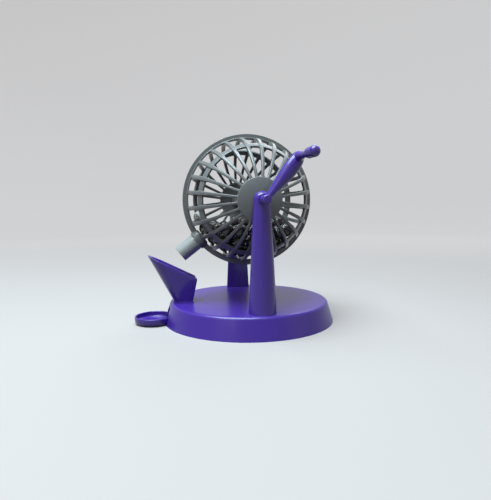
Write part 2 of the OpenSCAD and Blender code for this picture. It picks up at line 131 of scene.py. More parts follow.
class Shader:
    """A node material, or the world's own node tree, under construction."""

    def __init__(self, name: str, world: bpy.types.World | None = None) -> None:
        """Starts with an empty node tree.

        Args:
            name: The material's name.
            world: The world whose tree is built in place of a material's.
        """
        self.material = world or bpy.data.materials.new(name)
        self.material.use_nodes = True
        self.tree = self.material.node_tree
        self.tree.nodes.clear()
        self.place = self.node("ShaderNodeTexCoord", out="Object")

    def node(
        self, kind: str, settings: dict | None = None, inputs: dict | None = None, out: str | int = 0
    ) -> Value:
        """Adds any node.

        Args:
            kind: The node's type.
            settings: Properties that are set before its sockets.
            inputs: Numbers, colours or links by socket name or number.
            out: The output that is returned.

        Returns:
            The chosen output.
        """
        node = self.tree.nodes.new(kind)
        for key, value in (settings or {}).items():
            setattr(node, key, value)
        for key, value in (inputs or {}).items():
            if isinstance(value, Value):
                self.tree.links.new(value.socket, node.inputs[key])
            else:
                node.inputs[key].default_value = value
        return Value(self, node.outputs[out] if node.outputs else None)

    def stretched(self, scale: tuple[float, float, float], turn: float = 0.0) -> Value:
        """Object coordinates that are scaled and turned, mostly round Z."""
        inputs = {"Vector": self.place, "Scale": scale, "Rotation": (0.3 * turn, 0.5 * turn, turn)}
        return self.node("ShaderNodeMapping", None, inputs)

    def noise(self, scale: float, detail: Detail = Detail.PLAIN, place: Value | None = None) -> Value:
        """Noise of about 1/scale metres, from 0 to 1."""
        inputs = {"Vector": place or self.place, "Scale": scale, "Detail": detail.value}
        return self.node("ShaderNodeTexNoise", None, inputs)

    def blend(self, factor: Value, first: Value | Colour, second: Value | Colour) -> Value:
        """A blend of two colours, each fixed or varying."""
        first, second = (c if isinstance(c, Value) else (*c, 1.0) for c in (first, second))
        return self.node("ShaderNodeMix", {"data_type": "RGBA"}, {0: factor, 6: first, 7: second}, 2)

    def varied(self, factor: Value, colour: Colour, low: float, high: float) -> Value:
        """A colour that goes from low to high times itself."""
        return self.blend(factor, shade(colour, low), shade(colour, high))

    def seen(self) -> Value:
        """Tells what is looked at from what gives light.

        Returns:
            1 for what the camera, a reflection or glass sees, and 0 for light that falls on the object.
        """
        rays = ("Is Camera Ray", "Is Glossy Ray", "Is Transmission Ray")
        camera, glossy, glass = (self.node("ShaderNodeLightPath", out=ray) for ray in rays)
        return camera + glossy + glass

    def bump(self, height: Value, strength: float, distance: float) -> Value:
        """A normal that follows a height."""
        inputs = {"Height": height, "Strength": strength, "Distance": distance}
        return self.node("ShaderNodeBump", None, inputs)

    def surface(self, inputs: dict) -> bpy.types.Material:
        """Ends the material with a Principled shader.

        Args:
            inputs: Values of the Principled sockets by name.

        Returns:
            The finished material.
        """
        shader = self.node("ShaderNodeBsdfPrincipled", None, inputs)
        self.node("ShaderNodeOutputMaterial", None, {"Surface": shader})
        return self.material


def shade(colour: Colour, factor: float) -> Colour:
    """A colour made lighter or darker."""
    return tuple(min(1.0, channel * factor) for channel in colour)


# Finishes


@dataclass(frozen=True)
class MouldedPlastic:
    """Glossy moulded plastic: slow colour drift, orange-peel skin, hairline scuffs and a little dust.

    The scales are counts of noise cells in a metre, the words with _rough say how much a mark roughens, and
    those with _edge between which levels of the noise a mark starts.
    """

    name: str
    colour: Colour
    roughness: float = 0.26
    drift: float = 0.10
    scuffs: float = 0.5
    dust: float = 0.03
    coat: float = 0.16
    coat_roughness: float = 0.07
    ior: float = 1.45
    cloud_scale: float = 16.0
    cloud_rough: float = 0.08
    skin_scale: float = 420.0
    skin_share: float = 0.7
    grain_scale: float = 2400.0
    grain_rough: float = 0.04
    relief: float = 0.35 * MM
    relief_strength: float = 0.10
    scuff_scale: tuple[float, float, float] = (14.0, 900.0, 900.0)
    scuff_turns: tuple[float, float] = (0.6, 2.1)
    scuff_edge: tuple[float, float] = (0.66, 0.72)
    scuff_rough: float = 0.12
    patch_scale: float = 30.0
    patch_edge: tuple[float, float] = (0.52, 0.62)
    dust_scale: float = 1500.0
    dust_edge: tuple[float, float] = (0.60, 0.70)
    dust_up: tuple[float, float] = (0.55, 0.95)
    dust_rough: float = 0.12
    dust_colour: Colour = (0.62, 0.62, 0.66)

    def hairlines(self, shader: Shader, turn: float) -> Value:
        """Thin straight scuffs that run one way, in patches.

        Args:
            shader: The material under construction.
            turn: The direction of the scuffs.

        Returns:
            A mask that is 1 on a scuff.
        """
        lines = shader.noise(1.0, Detail.SOFT, shader.stretched(self.scuff_scale, turn))
        patches = shader.noise(self.patch_scale, Detail.SOFT)
        return lines.above(*self.scuff_edge) * patches.above(*self.patch_edge)

    def specks(self, shader: Shader) -> Value:
        """Dust specks on faces that look up.

        Args:
            shader: The material under construction.

        Returns:
            A mask that is 1 on a speck.
        """
        normal = shader.node("ShaderNodeNewGeometry", out="Normal")
        up = shader.node("ShaderNodeSeparateXYZ", None, {0: normal}, "Z")
        grains = shader.noise(self.dust_scale, Detail.SOFT)
        return grains.above(*self.dust_edge) * up.above(*self.dust_up)

    def material(self) -> bpy.types.Material:
        """Builds the finish.

        Returns:
            The new material.
        """
        shader = Shader(self.name)
        cloud = shader.noise(self.cloud_scale, Detail.RICH)
        skin = shader.noise(self.skin_scale)
        grain = shader.noise(self.grain_scale)
        first, second = (self.hairlines(shader, turn) for turn in self.scuff_turns)
        specks = self.specks(shader)
        base = shader.varied(cloud, self.colour, 1 - self.drift, 1 + self.drift)
        smooth = self.roughness - (self.cloud_rough + self.grain_rough) / 2
        rough = cloud * self.cloud_rough + grain * self.grain_rough
        rough = rough + (first + second) * (self.scuff_rough * self.scuffs)
        relief = skin * self.skin_share + grain * (1 - self.skin_share)
        return shader.surface(
            {
                "Base Color": shader.blend(specks * self.dust, base, self.dust_colour),
                "Roughness": rough + specks * self.dust_rough + smooth,
                "IOR": self.ior,
                "Coat Weight": self.coat,
                "Coat Roughness": self.coat_roughness,
                "Normal": shader.bump(relief, self.relief_strength, self.relief),
            }
        )


@dataclass(frozen=True)
class TurnedSteel:
    """Bright steel with fine turning marks and a little staining."""

    name: str
    colour: Colour
    roughness: float = 0.16
    stain_scale: float = 240.0
    stain_rough: float = 0.14
    stain_shades: tuple[float, float] = (0.8, 1.1)
    mark_scale: tuple[float, float, float] = (900.0, 900.0, 7000.0)
    mark_rough: float = 0.12
    mark_depth: float = 0.1 * MM
    mark_strength: float = 0.15

    def material(self) -> bpy.types.Material:
        """Builds the finish.

        Returns:
            The new material.
        """
        shader = Shader(self.name)
        stain = shader.noise(self.stain_scale, Detail.RICH)
        marks = shader.noise(1.0, Detail.SOFT, shader.stretched(self.mark_scale))
        return shader.surface(
            {
                "Base Color": shader.varied(stain, self.colour, *self.stain_shades),
                "Metallic": 1.0,
                "Roughness": stain * self.stain_rough + marks * self.mark_rough + self.roughness,
                "Normal": shader.bump(marks, self.mark_strength, self.mark_depth),
            }
        )


@dataclass(frozen=True)
class PadInk:
    """Pad-printed ink with slightly uneven coverage."""

    name: str
    colour: Colour
    roughness: float = 0.38
    cover_scale: float = 1800.0
    cover_rough: float = 0.2
    cover_shades: tuple[float, float] = (0.82, 1.05)

    def material(self) -> bpy.types.Material:
        """Builds the finish.

        Returns:
            The new material.
        """
        shader = Shader(self.name)
        cover = shader.noise(self.cover_scale)
        base = shader.varied(cover, self.colour, *self.cover_shades)
        return shader.surface({"Base Color": base, "Roughness": cover * self.cover_rough + self.roughness})


class Finishes:
    """Every finish of the object, each made once."""

    def __init__(self) -> None:
        """Builds the materials."""
        violet = (0.055, 0.019, 0.285)
        # Painted light: the second grey is the cage's grey made lighter, standing in for the light on the
        # outlet tube's top.
        grey, grey_painted_lighter = (0.146, 0.152, 0.154), (0.330, 0.345, 0.345)
        black, white = (0.026, 0.018, 0.021), (0.70, 0.70, 0.67)
        dark_ball = {"roughness": 0.24, "drift": 0.2, "scuffs": 0.2, "dust": 0.0}
        white_ball = {"drift": 0.03, "scuffs": 0.2, "dust": 0.0}
        self.violet = MouldedPlastic("violet_plastic", violet, roughness=0.30, coat=0.28).material()
        self.deck = MouldedPlastic("deck_plastic", violet, roughness=0.34, scuffs=1.0, coat=0.12).material()
        self.grey = MouldedPlastic("grey_plastic", grey, roughness=0.34, drift=0.06).material()
        # Painted light: the tube's plastic is the cage's grey plastic painted lighter, as if lit from above.
        self.tube = MouldedPlastic("tube_plastic_painted_lighter", grey_painted_lighter, roughness=0.30, drift=0.05).material()
        self.dark_ball = MouldedPlastic("dark_ball_plastic", black, **dark_ball).material()
        self.white_ball = MouldedPlastic("white_ball_plastic", white, **white_ball).material()
        self.steel = TurnedSteel("bright_steel", (0.55, 0.55, 0.56)).material()
        self.white_ink = PadInk("white_ink", (0.66, 0.65, 0.63)).material()
        self.black_ink = PadInk("black_ink", (0.018, 0.017, 0.020)).material()


# Surfaces


@dataclass
class Surface:
    """Points with quads and end faces, all in the object's frame and in metres."""

    points: Array
    quads: Array
    caps: list[list[int]] = field(default_factory=list)

    def __add__(self, other: Surface) -> Surface:
        """Both surfaces as one.

        Args:
            other: The surface whose points come second.

        Returns:
            The joined surface.
        """
        first = len(self.points)
        points = np.vstack([self.points, other.points])
        quads = np.vstack([self.quads, other.quads + first])
        return Surface(points, quads, self.caps + [[first + i for i in cap] for cap in other.caps])

    def moved(self, matrix: Array, offset: Array) -> Surface:
        """The surface turned by a 3 by 3 matrix and shifted."""
        return Surface(self.points @ matrix.T + offset, self.quads, self.caps)

    def mirrored(self, *signs: float) -> Surface:
        """The surface with its axes multiplied by signs."""
        return self.moved(np.diag(signs), np.zeros(3))

    def on_axle(self, side: Side, offset: Place = (0.0, 0.0, AXLE_Z)) -> Surface:
        """The surface laid from +Z onto the axle, or onto a line beside it, with its top at one end."""
        turn = np.array([[1, 0, 0], [0, 0, side.value], [0, -side.value, 0]], float)
        return self.moved(turn, np.array(offset))

    def copies(self, matrices: Array, offsets: Array) -> Surface:
        """The surface repeated, each copy turned by its own 3 by 3 matrix and shifted.

        Args:
            matrices: One matrix for each copy.
            offsets: One shift for each copy.

        Returns:
            All copies as one surface.
        """
        size, count = len(self.points), len(offsets)
        points = np.einsum("nij,pj->npi", matrices, self.points) + offsets[:, None]
        quads = self.quads[None] + size * np.arange(count)[:, None, None]
        caps = [[size * n + i for i in cap] for n in range(count) for cap in self.caps]
        return Surface(points.reshape(-1, 3), quads.reshape(-1, 4), caps)

    def shown(self, name: str, finish: bpy.types.Material) -> bpy.types.Object:
        """Makes the mesh, closes its seams and points its faces outwards.

        Args:
            name: The object's name.
            finish: Its material.

        Returns:
            The new object.
        """
        mesh = bpy.data.meshes.new(name)
        mesh.from_pydata(self.points.tolist(), [], self.quads.tolist() + self.caps)
        shape = bmesh.new()
        shape.from_mesh(mesh)
        bmesh.ops.remove_doubles(shape, verts=shape.verts, dist=WELD)
        bmesh.ops.recalc_face_normals(shape, faces=shape.faces)
        shape.to_mesh(mesh)
        shape.free()
        mesh.polygons.foreach_set("use_smooth", np.ones(len(mesh.polygons), bool))
        mesh.set_sharp_from_angle(angle=SHARP_EDGE)
        mesh.materials.append(finish)
        thing = bpy.data.objects.new(name, mesh)
        bpy.context.scene.collection.objects.link(thing)
        return thing

    def piece(self, name: str, finish: bpy.types.Material, body: Body, slot: str, *nodes: str) -> None:
        """Makes a piece of the object and puts it on a body.

        Args:
            name: The piece's name.
            finish: Its material.
            body: The body that it rides on.
            slot: The record's material slot; not used.
            nodes: The CAD nodes that it stands for.
        """
        piece = self.shown(name, finish)
        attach(piece, body.value)
        if nodes:
            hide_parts(*nodes)
        LOG.info("piece %s: %d faces on %s", name, len(piece.data.polygons), body.value)


def joined(parts: list[Surface]) -> Surface:
    """Several surfaces as one."""
    return sum(parts[1:], parts[0])


def grid_quads(rows: int, columns: int, wrap_rows: bool = False) -> Array:
    """Quads of a grid whose columns close into rings.

    Args:
        rows: Number of rings.
        columns: Points on a ring.
        wrap_rows: Whether the last ring joins the first.

    Returns:
        An array of four point numbers per quad.
    """
    index = np.arange(rows * columns).reshape(rows, columns)
    below = index if wrap_rows else index[:-1]
    above = np.roll(index, -1, axis=0) if wrap_rows else index[1:]
    return np.stack([below, np.roll(below, -1, 1), np.roll(above, -1, 1), above], -1).reshape(-1, 4)


def tube_of(rings: Array) -> Surface:
    """A closed tube with an end face on its first and last ring.

    Args:
        rings: Rings of points, by ring, point and coordinate.

    Returns:
        The tube.
    """
    rows, columns = rings.shape[:2]
    caps = [list(range(columns)), list(range((rows - 1) * columns, rows * columns))]
    return Surface(rings.reshape(-1, 3), grid_quads(rows, columns), caps)


def loop_of(rings: Array) -> Surface:
    """A closed loop from an array of rings of points, whose last ring joins the first."""
    return Surface(rings.reshape(-1, 3), grid_quads(*rings.shape[:2], wrap_rows=True))


def softened(corners: list[tuple[float, float]], cut: float, steps: int = 4, share: float = 0.45) -> Array:
    """A closed outline whose corners are rounded.

    Each corner P becomes the curve (1 - s)^2 A + 2 s (1 - s) P + s^2 B, where A and B lie on the two
    edges at a distance cut from P, or at a share of a shorter edge.

    Args:
        corners: The outline's corners in order.
        cut: How far from the corner the rounding starts.
        steps: Points on each corner, less one.
        share: The most of an edge that one corner takes.

    Returns:
        An array of points, two numbers each.
    """
    at = np.array(corners, float)
    to_next = np.roll(at, -1, 0) - at
    to_last = np.roll(at, 1, 0) - at
    length = np.linalg.norm(to_next, axis=1)
    reach_next = np.minimum(cut, share * length) / length
    reach_last = np.roll(reach_next, 1)
    start = at + to_last * reach_last[:, None]
    end = at + to_next * reach_next[:, None]
    s = np.linspace(0, 1, steps + 1)[None, :, None]
    curve = (1 - s) ** 2 * start[:, None] + 2 * s * (1 - s) * at[:, None] + s**2 * end[:, None]
    return curve.reshape(-1, 2)


def boxed(low: tuple[float, float], high: tuple[float, float], cut: float) -> Array:
    """A rectangle between two corners, as a closed outline with rounded corners."""
    (left, bottom), (right, top) = low, high
    return softened([(left, bottom), (right, bottom), (right, top), (left, top)], cut)


def turned(outline: Array, steps: int, start: float = 0.0, stop: float = 360.0) -> Surface:
    """A closed outline of (radius, height) carried round +Z: x = r cos a, y = r sin a, z = h.

    Args:
        outline: The outline's points.
        steps: Steps of the turn.
        start: First angle in degrees.
        stop: Last angle in degrees.

    Returns:
        A ring, or an arc with end faces if it isn't a full turn.
    """
    whole = stop - start >= 360.0
    angle = np.radians(np.linspace(start, stop, steps + 1))[: steps if whole else steps + 1, None]
    radius, height = outline[None, :, 0], outline[None, :, 1]
    rings = np.stack([radius * np.cos(angle), radius * np.sin(angle), height + 0 * angle], -1)
    return loop_of(rings) if whole else tube_of(rings)


def lathe_rings(radius: Array, height: Array, steps: int) -> Array:
    """The rings of an open profile carried round +Z: x = r cos a, y = r sin a, z = h.

    Args:
        radius: The profile's radii.
        height: Its heights.
        steps: Steps of the turn.

    Returns:
        One ring of points for each point of the profile.
    """
    angle = np.linspace(0, FULL_TURN, steps, endpoint=False)[None]
    away = radius[:, None]
    return np.stack([away * np.cos(angle), away * np.sin(angle), height[:, None] + 0 * angle], -1)


def axis_turn(axis: Array, spin: Array) -> Array:
    """Rotation matrices whose third column is an axis, with the first two turned round it by an angle.

    Args:
        axis: Unit vectors, one row each.
        spin: Angles in radians, one for each axis.

    Returns:
        An array of 3 by 3 matrices.
    """
    helper = np.where(np.abs(axis[:, 2:]) < UPRIGHT, [[0.0, 0.0, 1.0]], [[1.0, 0.0, 0.0]])
    right = np.cross(helper, axis)
    right /= np.linalg.norm(right, axis=1, keepdims=True)
    up = np.cross(axis, right)
    c, s = np.cos(spin)[:, None], np.sin(spin)[:, None]
    return np.stack([c * right + s * up, c * up - s * right, axis], -1)


# The cage


@dataclass
class Cage:
    """Two ribbed halves, each with ribs, a hoop, a hub dome, an equator band and half a tube seat.

    The hoop and the dome are sunk into the ribs by shares of the ribs' depth.
    """

    inner: float = 71 * MM
    rib_depth: float = 4.2 * MM
    ribs: int = 24
    rib_rows: int = 56
    rib_columns: int = 24
    rib_width: float = 4.6 * MM
    rib_hub_width: float = 2.8 * MM
    rib_corner: float = 0.9 * MM
    rib_overlap: float = 2 * MM
    rib_grow_past: float = 1 * MM
    rib_off_seat: float = 1.4 * MM
    rib_off_split: float = 0.3 * MM
    sunk_in: float = 0.1
    sunk_out: float = 0.3
    flare: float = 0.5 * MM
    flare_fade: float = 0.7 * MM
    hub: float = 25 * MM
    hub_rise: float = 0.5 * MM
    hub_bore: float = 3 * MM
    hub_edge: float = 0.9 * MM
    hub_rows: int = 14
    hub_steps: int = 144
    boss: float = 8 * MM
    boss_in: float = 63.9 * MM
    boss_out: float = 77.9 * MM
    hoop: float = 61.8 * MM
    hoop_width: float = 4.4 * MM
    hoop_edge: float = 0.7 * MM
    hoop_steps: int = 192
    split_gap: float = 0.02 * MM
    band_width: float = 4.5 * MM
    band_in: float = 73.4 * MM
    band_out: float = 75.6 * MM
    band_edge: float = 0.6 * MM
    band_off_tube: float = 1 * MM
    band_steps: int = 240
    flange: float = 80 * MM
    flange_depth: float = 2 * MM
    tube_angle: float = 217.5
    tube: float = 10 * MM
    tube_bore: float = 8.4 * MM
    tube_reach: float = 106 * MM
    tube_edge: float = 0.7 * MM
    tube_off_balls: float = 0.5 * MM
    tube_steps: int = 96
    seat_fit: float = 0.05 * MM
    seat: float = 11.75 * MM
    seat_from: float = 72.5 * MM
    seat_to: float = 81.2 * MM
    seat_steps: int = 40

    @property
    def outer(self) -> float:
        """Outer radius of the ribs."""
        return self.inner + self.rib_depth

    @property
    def ring_in(self) -> float:
        """Inner radius of the hoop and the dome."""
        return self.inner + self.sunk_in * self.rib_depth

    @property
    def ring_out(self) -> float:
        """Outer radius of the hoop."""
        return self.outer - self.sunk_out * self.rib_depth

    def rib_arcs(self, angle: Array, seat_angle: float) -> Array:
        """Polar angles along each rib, from under the dome to the split or short of the tube's seat.

        Args:
            angle: The ribs' angles round the axle.
            seat_angle: Direction of the seat in degrees.

        Returns:
            One row of angles for each rib.
        """
        middle = self.inner + self.rib_depth / 2
        off_seat = np.abs((np.degrees(angle) - seat_angle + 180) % 360 - 180)
        end_height = np.where(off_seat < 1, self.tube + self.rib_off_seat, self.rib_off_split)
        first = math.asin((self.hub - self.rib_overlap) / middle)
        last = np.arccos(end_height / middle)
        return first + (last - first)[:, None] * np.linspace(0, 1, self.rib_rows)[None]

    def rib_halves(self, away: Array, height: Array) -> Array:
        """Half the width and depth of the ribs' sections.

        The width grows evenly with the distance from the axle, and flares by a decaying exponential where the
        rib meets the dome, the hoop and the band.

        Args:
            away: Distance of each section from the axle.
            height: Its height over the split.

        Returns:
            Two numbers for each section.
        """
        start = self.hub - self.rib_overlap
        share = (away - start) / (self.outer + self.rib_grow_past - start)
        width = self.rib_hub_width + share * (self.rib_width - self.rib_hub_width)
        hoop_gap = np.maximum(np.abs(away - self.hoop) - self.hoop_width / 2, 0)
        gaps = (np.maximum(away - self.hub, 0), hoop_gap, np.maximum(height - self.band_width, 0))
        flare = self.flare * sum(np.exp(-gap / self.flare_fade) for gap in gaps)
        return np.stack([width / 2 + flare, np.full_like(width, self.rib_depth / 2)], -1)

    def rib_set(self, seat_angle: float) -> Surface:
        """All ribs of a half.

        A rib's middle line is the arc n(f) R, where n = (sin f cos a, sin f sin a, cos f). Its section is a
        rounded rectangle across the arc.

        Args:
            seat_angle: Direction of the tube's seat, at which the rib stops short.

        Returns:
            The ribs as closed tubes.
        """
        middle = self.inner + self.rib_depth / 2
        angle = np.radians((np.arange(self.ribs) + 0.5) * 360 / self.ribs)
        polar = self.rib_arcs(angle, seat_angle)
        half = self.rib_halves(middle * np.sin(polar), middle * np.cos(polar))
        step = 360 / self.rib_columns
        sweep = np.radians((np.arange(self.rib_columns) + 0.5) * step)
        unit = np.stack([np.cos(sweep), np.sin(sweep)], -1)
        section = np.sign(unit) * (half - self.rib_corner)[:, :, None] + self.rib_corner * unit
        a, f = angle[:, None, None], polar[..., None]
        out = np.stack([np.sin(f) * np.cos(a), np.sin(f) * np.sin(a), np.cos(f) + 0 * a], -1)
        across = np.stack([-np.sin(a), np.cos(a), 0 * a], -1)
        rings = out * (middle + section[..., 1:2]) + across * section[..., 0:1]
        return joined([tube_of(rib) for rib in rings])

    def hoop_ring(self) -> Surface:
        """The hoop: a rounded section at a polar angle f, carried round: n(f + u / R) (R + v).

        Returns:
            The hoop round +Z.
        """
        middle = (self.ring_in + self.ring_out) / 2
        low, high = (math.asin((self.hoop + s * self.hoop_width / 2) / middle) for s in (-1, 1))
        depth = (self.ring_out - self.ring_in) / 2
        edge = boxed((low * middle, -depth), (high * middle, depth), self.hoop_edge)
        polar, radius = edge[:, 0] / middle, middle + edge[:, 1]
        return turned(np.stack([radius * np.sin(polar), radius * np.cos(polar)], -1), self.hoop_steps)

    def hub_dome(self) -> Surface:
        """The dome over the rib ends with the axle's boss: two arcs of spheres with a rounded rim.

        Returns:
            The dome round +Z.
        """
        top, under = self.outer + self.hub_rise, self.ring_in
        rise = np.linspace(math.asin(self.boss / top), math.asin(self.hub / top), self.hub_rows)
        fall = np.linspace(math.asin(self.hub / under), math.asin(self.boss / under), self.hub_rows)
        corners = [(self.hub_bore, self.boss_in), (self.hub_bore, self.boss_out), (self.boss, self.boss_out)]
        corners += list(zip(top * np.sin(rise), top * np.cos(rise)))
        corners += list(zip(under * np.sin(fall), under * np.cos(fall)))
        corners += [(self.boss, self.boss_in)]
        return turned(softened(corners, self.hub_edge, steps=3), self.hub_steps)

    def band(self, seat_angle: float) -> Surface:
        """The equator band with the rim flange: a softened outline carried round +Z.

        Args:
            seat_angle: Direction of the tube, where the band is open.

        Returns:
            The band round +Z.
        """
        corners = [
            (self.band_in, self.split_gap),
            (self.flange, self.split_gap),
            (self.flange, self.flange_depth),
            (self.band_out, self.flange_depth),
            (self.band_out, self.band_width),
            (self.band_in, self.band_width),
        ]
        gap = math.degrees(math.asin((self.tube + self.band_off_tube) / self.band_out))
        start, stop = seat_angle + gap, seat_angle + 360 - gap
        return turned(softened(corners, self.band_edge), self.band_steps, start, stop)

    def tube_seat(self, seat_angle: float) -> Surface:
        """Half of the collar that holds the tube: a rounded section carried half round the tube's axis.

        Args:
            seat_angle: Direction of the tube.

        Returns:
            The half collar.
        """
        wall = self.tube + self.seat_fit
        edge = boxed((wall, self.seat_from), (self.seat, self.seat_to), self.tube_edge)
        half = turned(edge, self.seat_steps, 0.0, 180.0)
        a = math.radians(seat_angle)
        along, side = (math.cos(a), math.sin(a), 0), (-math.sin(a), math.cos(a), 0)
        return half.moved(np.array([side, (0, 0, 1), along]).T, np.zeros(3))

    def outlet(self) -> Surface:
        """The outlet tube: a rounded wall section carried round the tube's axis.

        Returns:
            The tube in its place.
        """
        inner_end = math.sqrt(self.ring_in**2 - self.tube**2) + self.tube_off_balls
        edge = boxed((self.tube_bore, inner_end), (self.tube, self.tube_reach), self.tube_edge)
        a = math.radians(self.tube_angle)
        along = np.array([math.cos(a), 0, math.sin(a)])
        side = np.array([-math.sin(a), 0, math.cos(a)])
        turn = np.stack([side, np.cross(along, side), along], -1)
        return turned(edge, self.tube_steps).moved(turn, np.array([0, 0, AXLE_Z]))

    def build(self, finishes: Finishes) -> None:
        """Makes both halves and the outlet tube.

        Args:
            finishes: The object's finishes.
        """
        for side, node in ((Side.CRANK, "front_cage_half"), (Side.REAR, "rear_cage_half")):
            seat = self.tube_angle * -side.value
            half = self.rib_set(seat % 360) + self.hoop_ring() + self.hub_dome()
            half = (half + self.band(seat) + self.tube_seat(seat)).on_axle(side)
            half.piece(node + "_moulding", finishes.grey, Body.CAGE, "grey_plastic", node)
        tube = self.outlet()
        # The tube wears the lighter grey, which is painted light on the cage's grey plastic; its record slot
        # stays grey_plastic.
        tube.piece("outlet_tube_moulding", finishes.tube, Body.CAGE, "grey_plastic", "outlet_tube")


# The stand


@dataclass
class Post:
    """A half-round post: D-shaped sections with soft corners, a domed head and the bearing's flat boss."""

    node: str
    side: Side
    face: float = 78.5 * MM
    foot: float = 15.8 * MM
    head: float = 9.4 * MM
    edge: float = 0.8 * MM
    arc_points: int = 49
    shaft_rows: int = 8
    dome_rows: int = 20
    dome_end: float = 87.0
    boss: float = 6.4 * MM
    boss_to: float = 88.2 * MM
    boss_edge: float = 0.5 * MM
    boss_steps: int = 72
    bore: float = 4.05 * MM

    def section(self, radius: float) -> Array:
        """A half circle with its flat side on the inner face, its corners softened."""
        sweep = np.linspace(0, math.pi, self.arc_points)
        return softened(list(zip(radius * np.cos(sweep), radius * np.sin(sweep))), self.edge, steps=3)

    def shell(self) -> Surface:
        """The sections: r falls evenly from foot to axle, then r = sqrt(R^2 - h^2) over the dome.

        Returns:
            The post without its bearing.
        """
        shaft = np.linspace(0, 1, self.shaft_rows)
        dome = np.radians(np.linspace(0, self.dome_end, self.dome_rows)[1:])
        radii = np.append(self.foot + shaft * (self.head - self.foot), self.head * np.cos(dome))
        rise = np.append(DECK_Z + shaft * (AXLE_Z - DECK_Z), AXLE_Z + self.head * np.sin(dome))
        flat = np.stack([self.section(radius) for radius in radii])
        y = self.side.value * (self.face + flat[..., 1])
        return tube_of(np.stack([flat[..., 0], y, np.broadcast_to(rise[:, None], y.shape)], -1))

    def build(self, finishes: Finishes) -> None:
        """Makes the post.

        Args:
            finishes: The object's finishes.
        """
        root = self.face + self.head / 2
        bearing = boxed((self.bore, root), (self.boss, self.boss_to), self.boss_edge)
        whole = self.shell() + turned(bearing, self.boss_steps).on_axle(self.side)
        whole.piece(self.node + "_moulding", finishes.violet, Body.STAND, "violet_plastic", self.node)


@dataclass
class CrankArm:
    """The crank's club-shaped arm, with a round boss on the axle and an eye that holds the knob's pin."""

    middle: float = 100 * MM
    angle: float = math.radians(52.5)
    length: float = 55 * MM
    tip: float = 60.1 * MM
    root: float = 3.8 * MM
    belly: float = 8 * MM
    belly_at: float = 41 * MM
    bow: float = 1.2 * MM
    root_depth: float = 4.2 * MM
    belly_depth: float = 6.6 * MM
    roundness: float = 2.5
    climb_rows: int = 32
    close_rows: int = 28
    closed: float = 0.999999
    columns: int = 48
    boss: float = 5 * MM
    boss_from: float = 88.5 * MM
    boss_to: float = 104.8 * MM
    boss_edge: float = 2 * MM
    boss_rows: int = 9
    boss_steps: int = 64
    eye: float = 5.6 * MM
    eye_face: float = 5.2 * MM
    eye_from: float = 93.6 * MM
    eye_to: float = 106.3 * MM
    eye_edge: float = 1.6 * MM
    eye_edge_rows: int = 7
    eye_side_rows: int = 12
    eye_steps: int = 48

    def club(self) -> Surface:
        """The arm: ellipses w cos t, h sin t carried along it.

        The half-width w grows from root to belly by u^2 (3 - 2 u) and the half-depth h evenly. Past the belly
        both are drawn in by (1 - v^p)^(1/p), where v goes from 0 to almost 1 at the tip. The middle line bows
        down with w.

        Returns:
            The arm in its place.
        """
        climb = np.linspace(0, 1, self.climb_rows, endpoint=False)
        close = self.closed * np.sin(np.linspace(0, math.pi / 2, self.close_rows))
        along = np.append(climb * self.belly_at, self.belly_at + close * (self.tip - self.belly_at))
        u = np.minimum(along / self.belly_at, 1)
        swell = u**2 * (3 - 2 * u)
        drawn = np.append(np.ones(len(climb)), (1 - close**self.roundness) ** (1 / self.roundness))
        width = drawn * (self.root + swell * (self.belly - self.root))
        depth = drawn * (self.root_depth + u * (self.belly_depth - self.root_depth))
        sweep = np.linspace(0, FULL_TURN, self.columns, endpoint=False)
        x = np.outer(width, np.cos(sweep)) - (self.bow * swell * drawn)[:, None]
        y = np.outer(depth, np.sin(sweep))
        c, s = math.cos(self.angle), math.sin(self.angle)
        turn = np.array([[-s, 0, c], [0, -1, 0], [c, 0, s]]).T
        arm = tube_of(np.stack([x, y, np.broadcast_to(along[:, None], x.shape)], -1))
        return arm.moved(turn, np.array([0, -self.middle, AXLE_Z]))

    def axle_boss(self) -> Surface:
        """The boss: a cylinder whose outer edge is a quarter circle.

        Returns:
            The boss round +Z.
        """
        edge = np.linspace(0, math.pi / 2, self.boss_rows)
        radius = self.boss - self.boss_edge * (1 - np.cos(edge))
        height = self.boss_to - self.boss_edge * (1 - np.sin(edge))
        radius, height = np.append(self.boss, radius), np.append(self.boss_from, height)
        return tube_of(lathe_rings(radius, height, self.boss_steps))

    def pin_eye(self) -> Surface:
        """The eye: a back edge that is a quarter circle, then r falls by (1 - q)^2 to the knob's collar.

        Returns:
            The eye round +Z.
        """
        edge = np.linspace(0, math.pi / 2, self.eye_edge_rows)
        q = np.linspace(0, 1, self.eye_side_rows)[1:]
        low = self.eye_from + self.eye_edge
        back = self.eye - self.eye_edge * (1 - np.sin(edge))
        side = self.eye_face + (self.eye - self.eye_face) * (1 - q) ** 2
        height = np.append(low - self.eye_edge * np.cos(edge), low + q * (self.eye_to - low))
        return tube_of(lathe_rings(np.append(back, side), height, self.eye_steps))

    def build(self, finishes: Finishes) -> None:
        """Makes the arm.

        Args:
            finishes: The object's finishes.
        """
        c, s = math.cos(self.angle), math.sin(self.angle)
        end = (self.length * c, 0.0, AXLE_Z + self.length * s)
        whole = self.club() + self.axle_boss().on_axle(Side.CRANK) + self.pin_eye().on_axle(Side.CRANK, end)
        whole.piece("crank_arm_moulding", finishes.violet, Body.CAGE, "violet_plastic", "crank_arm")


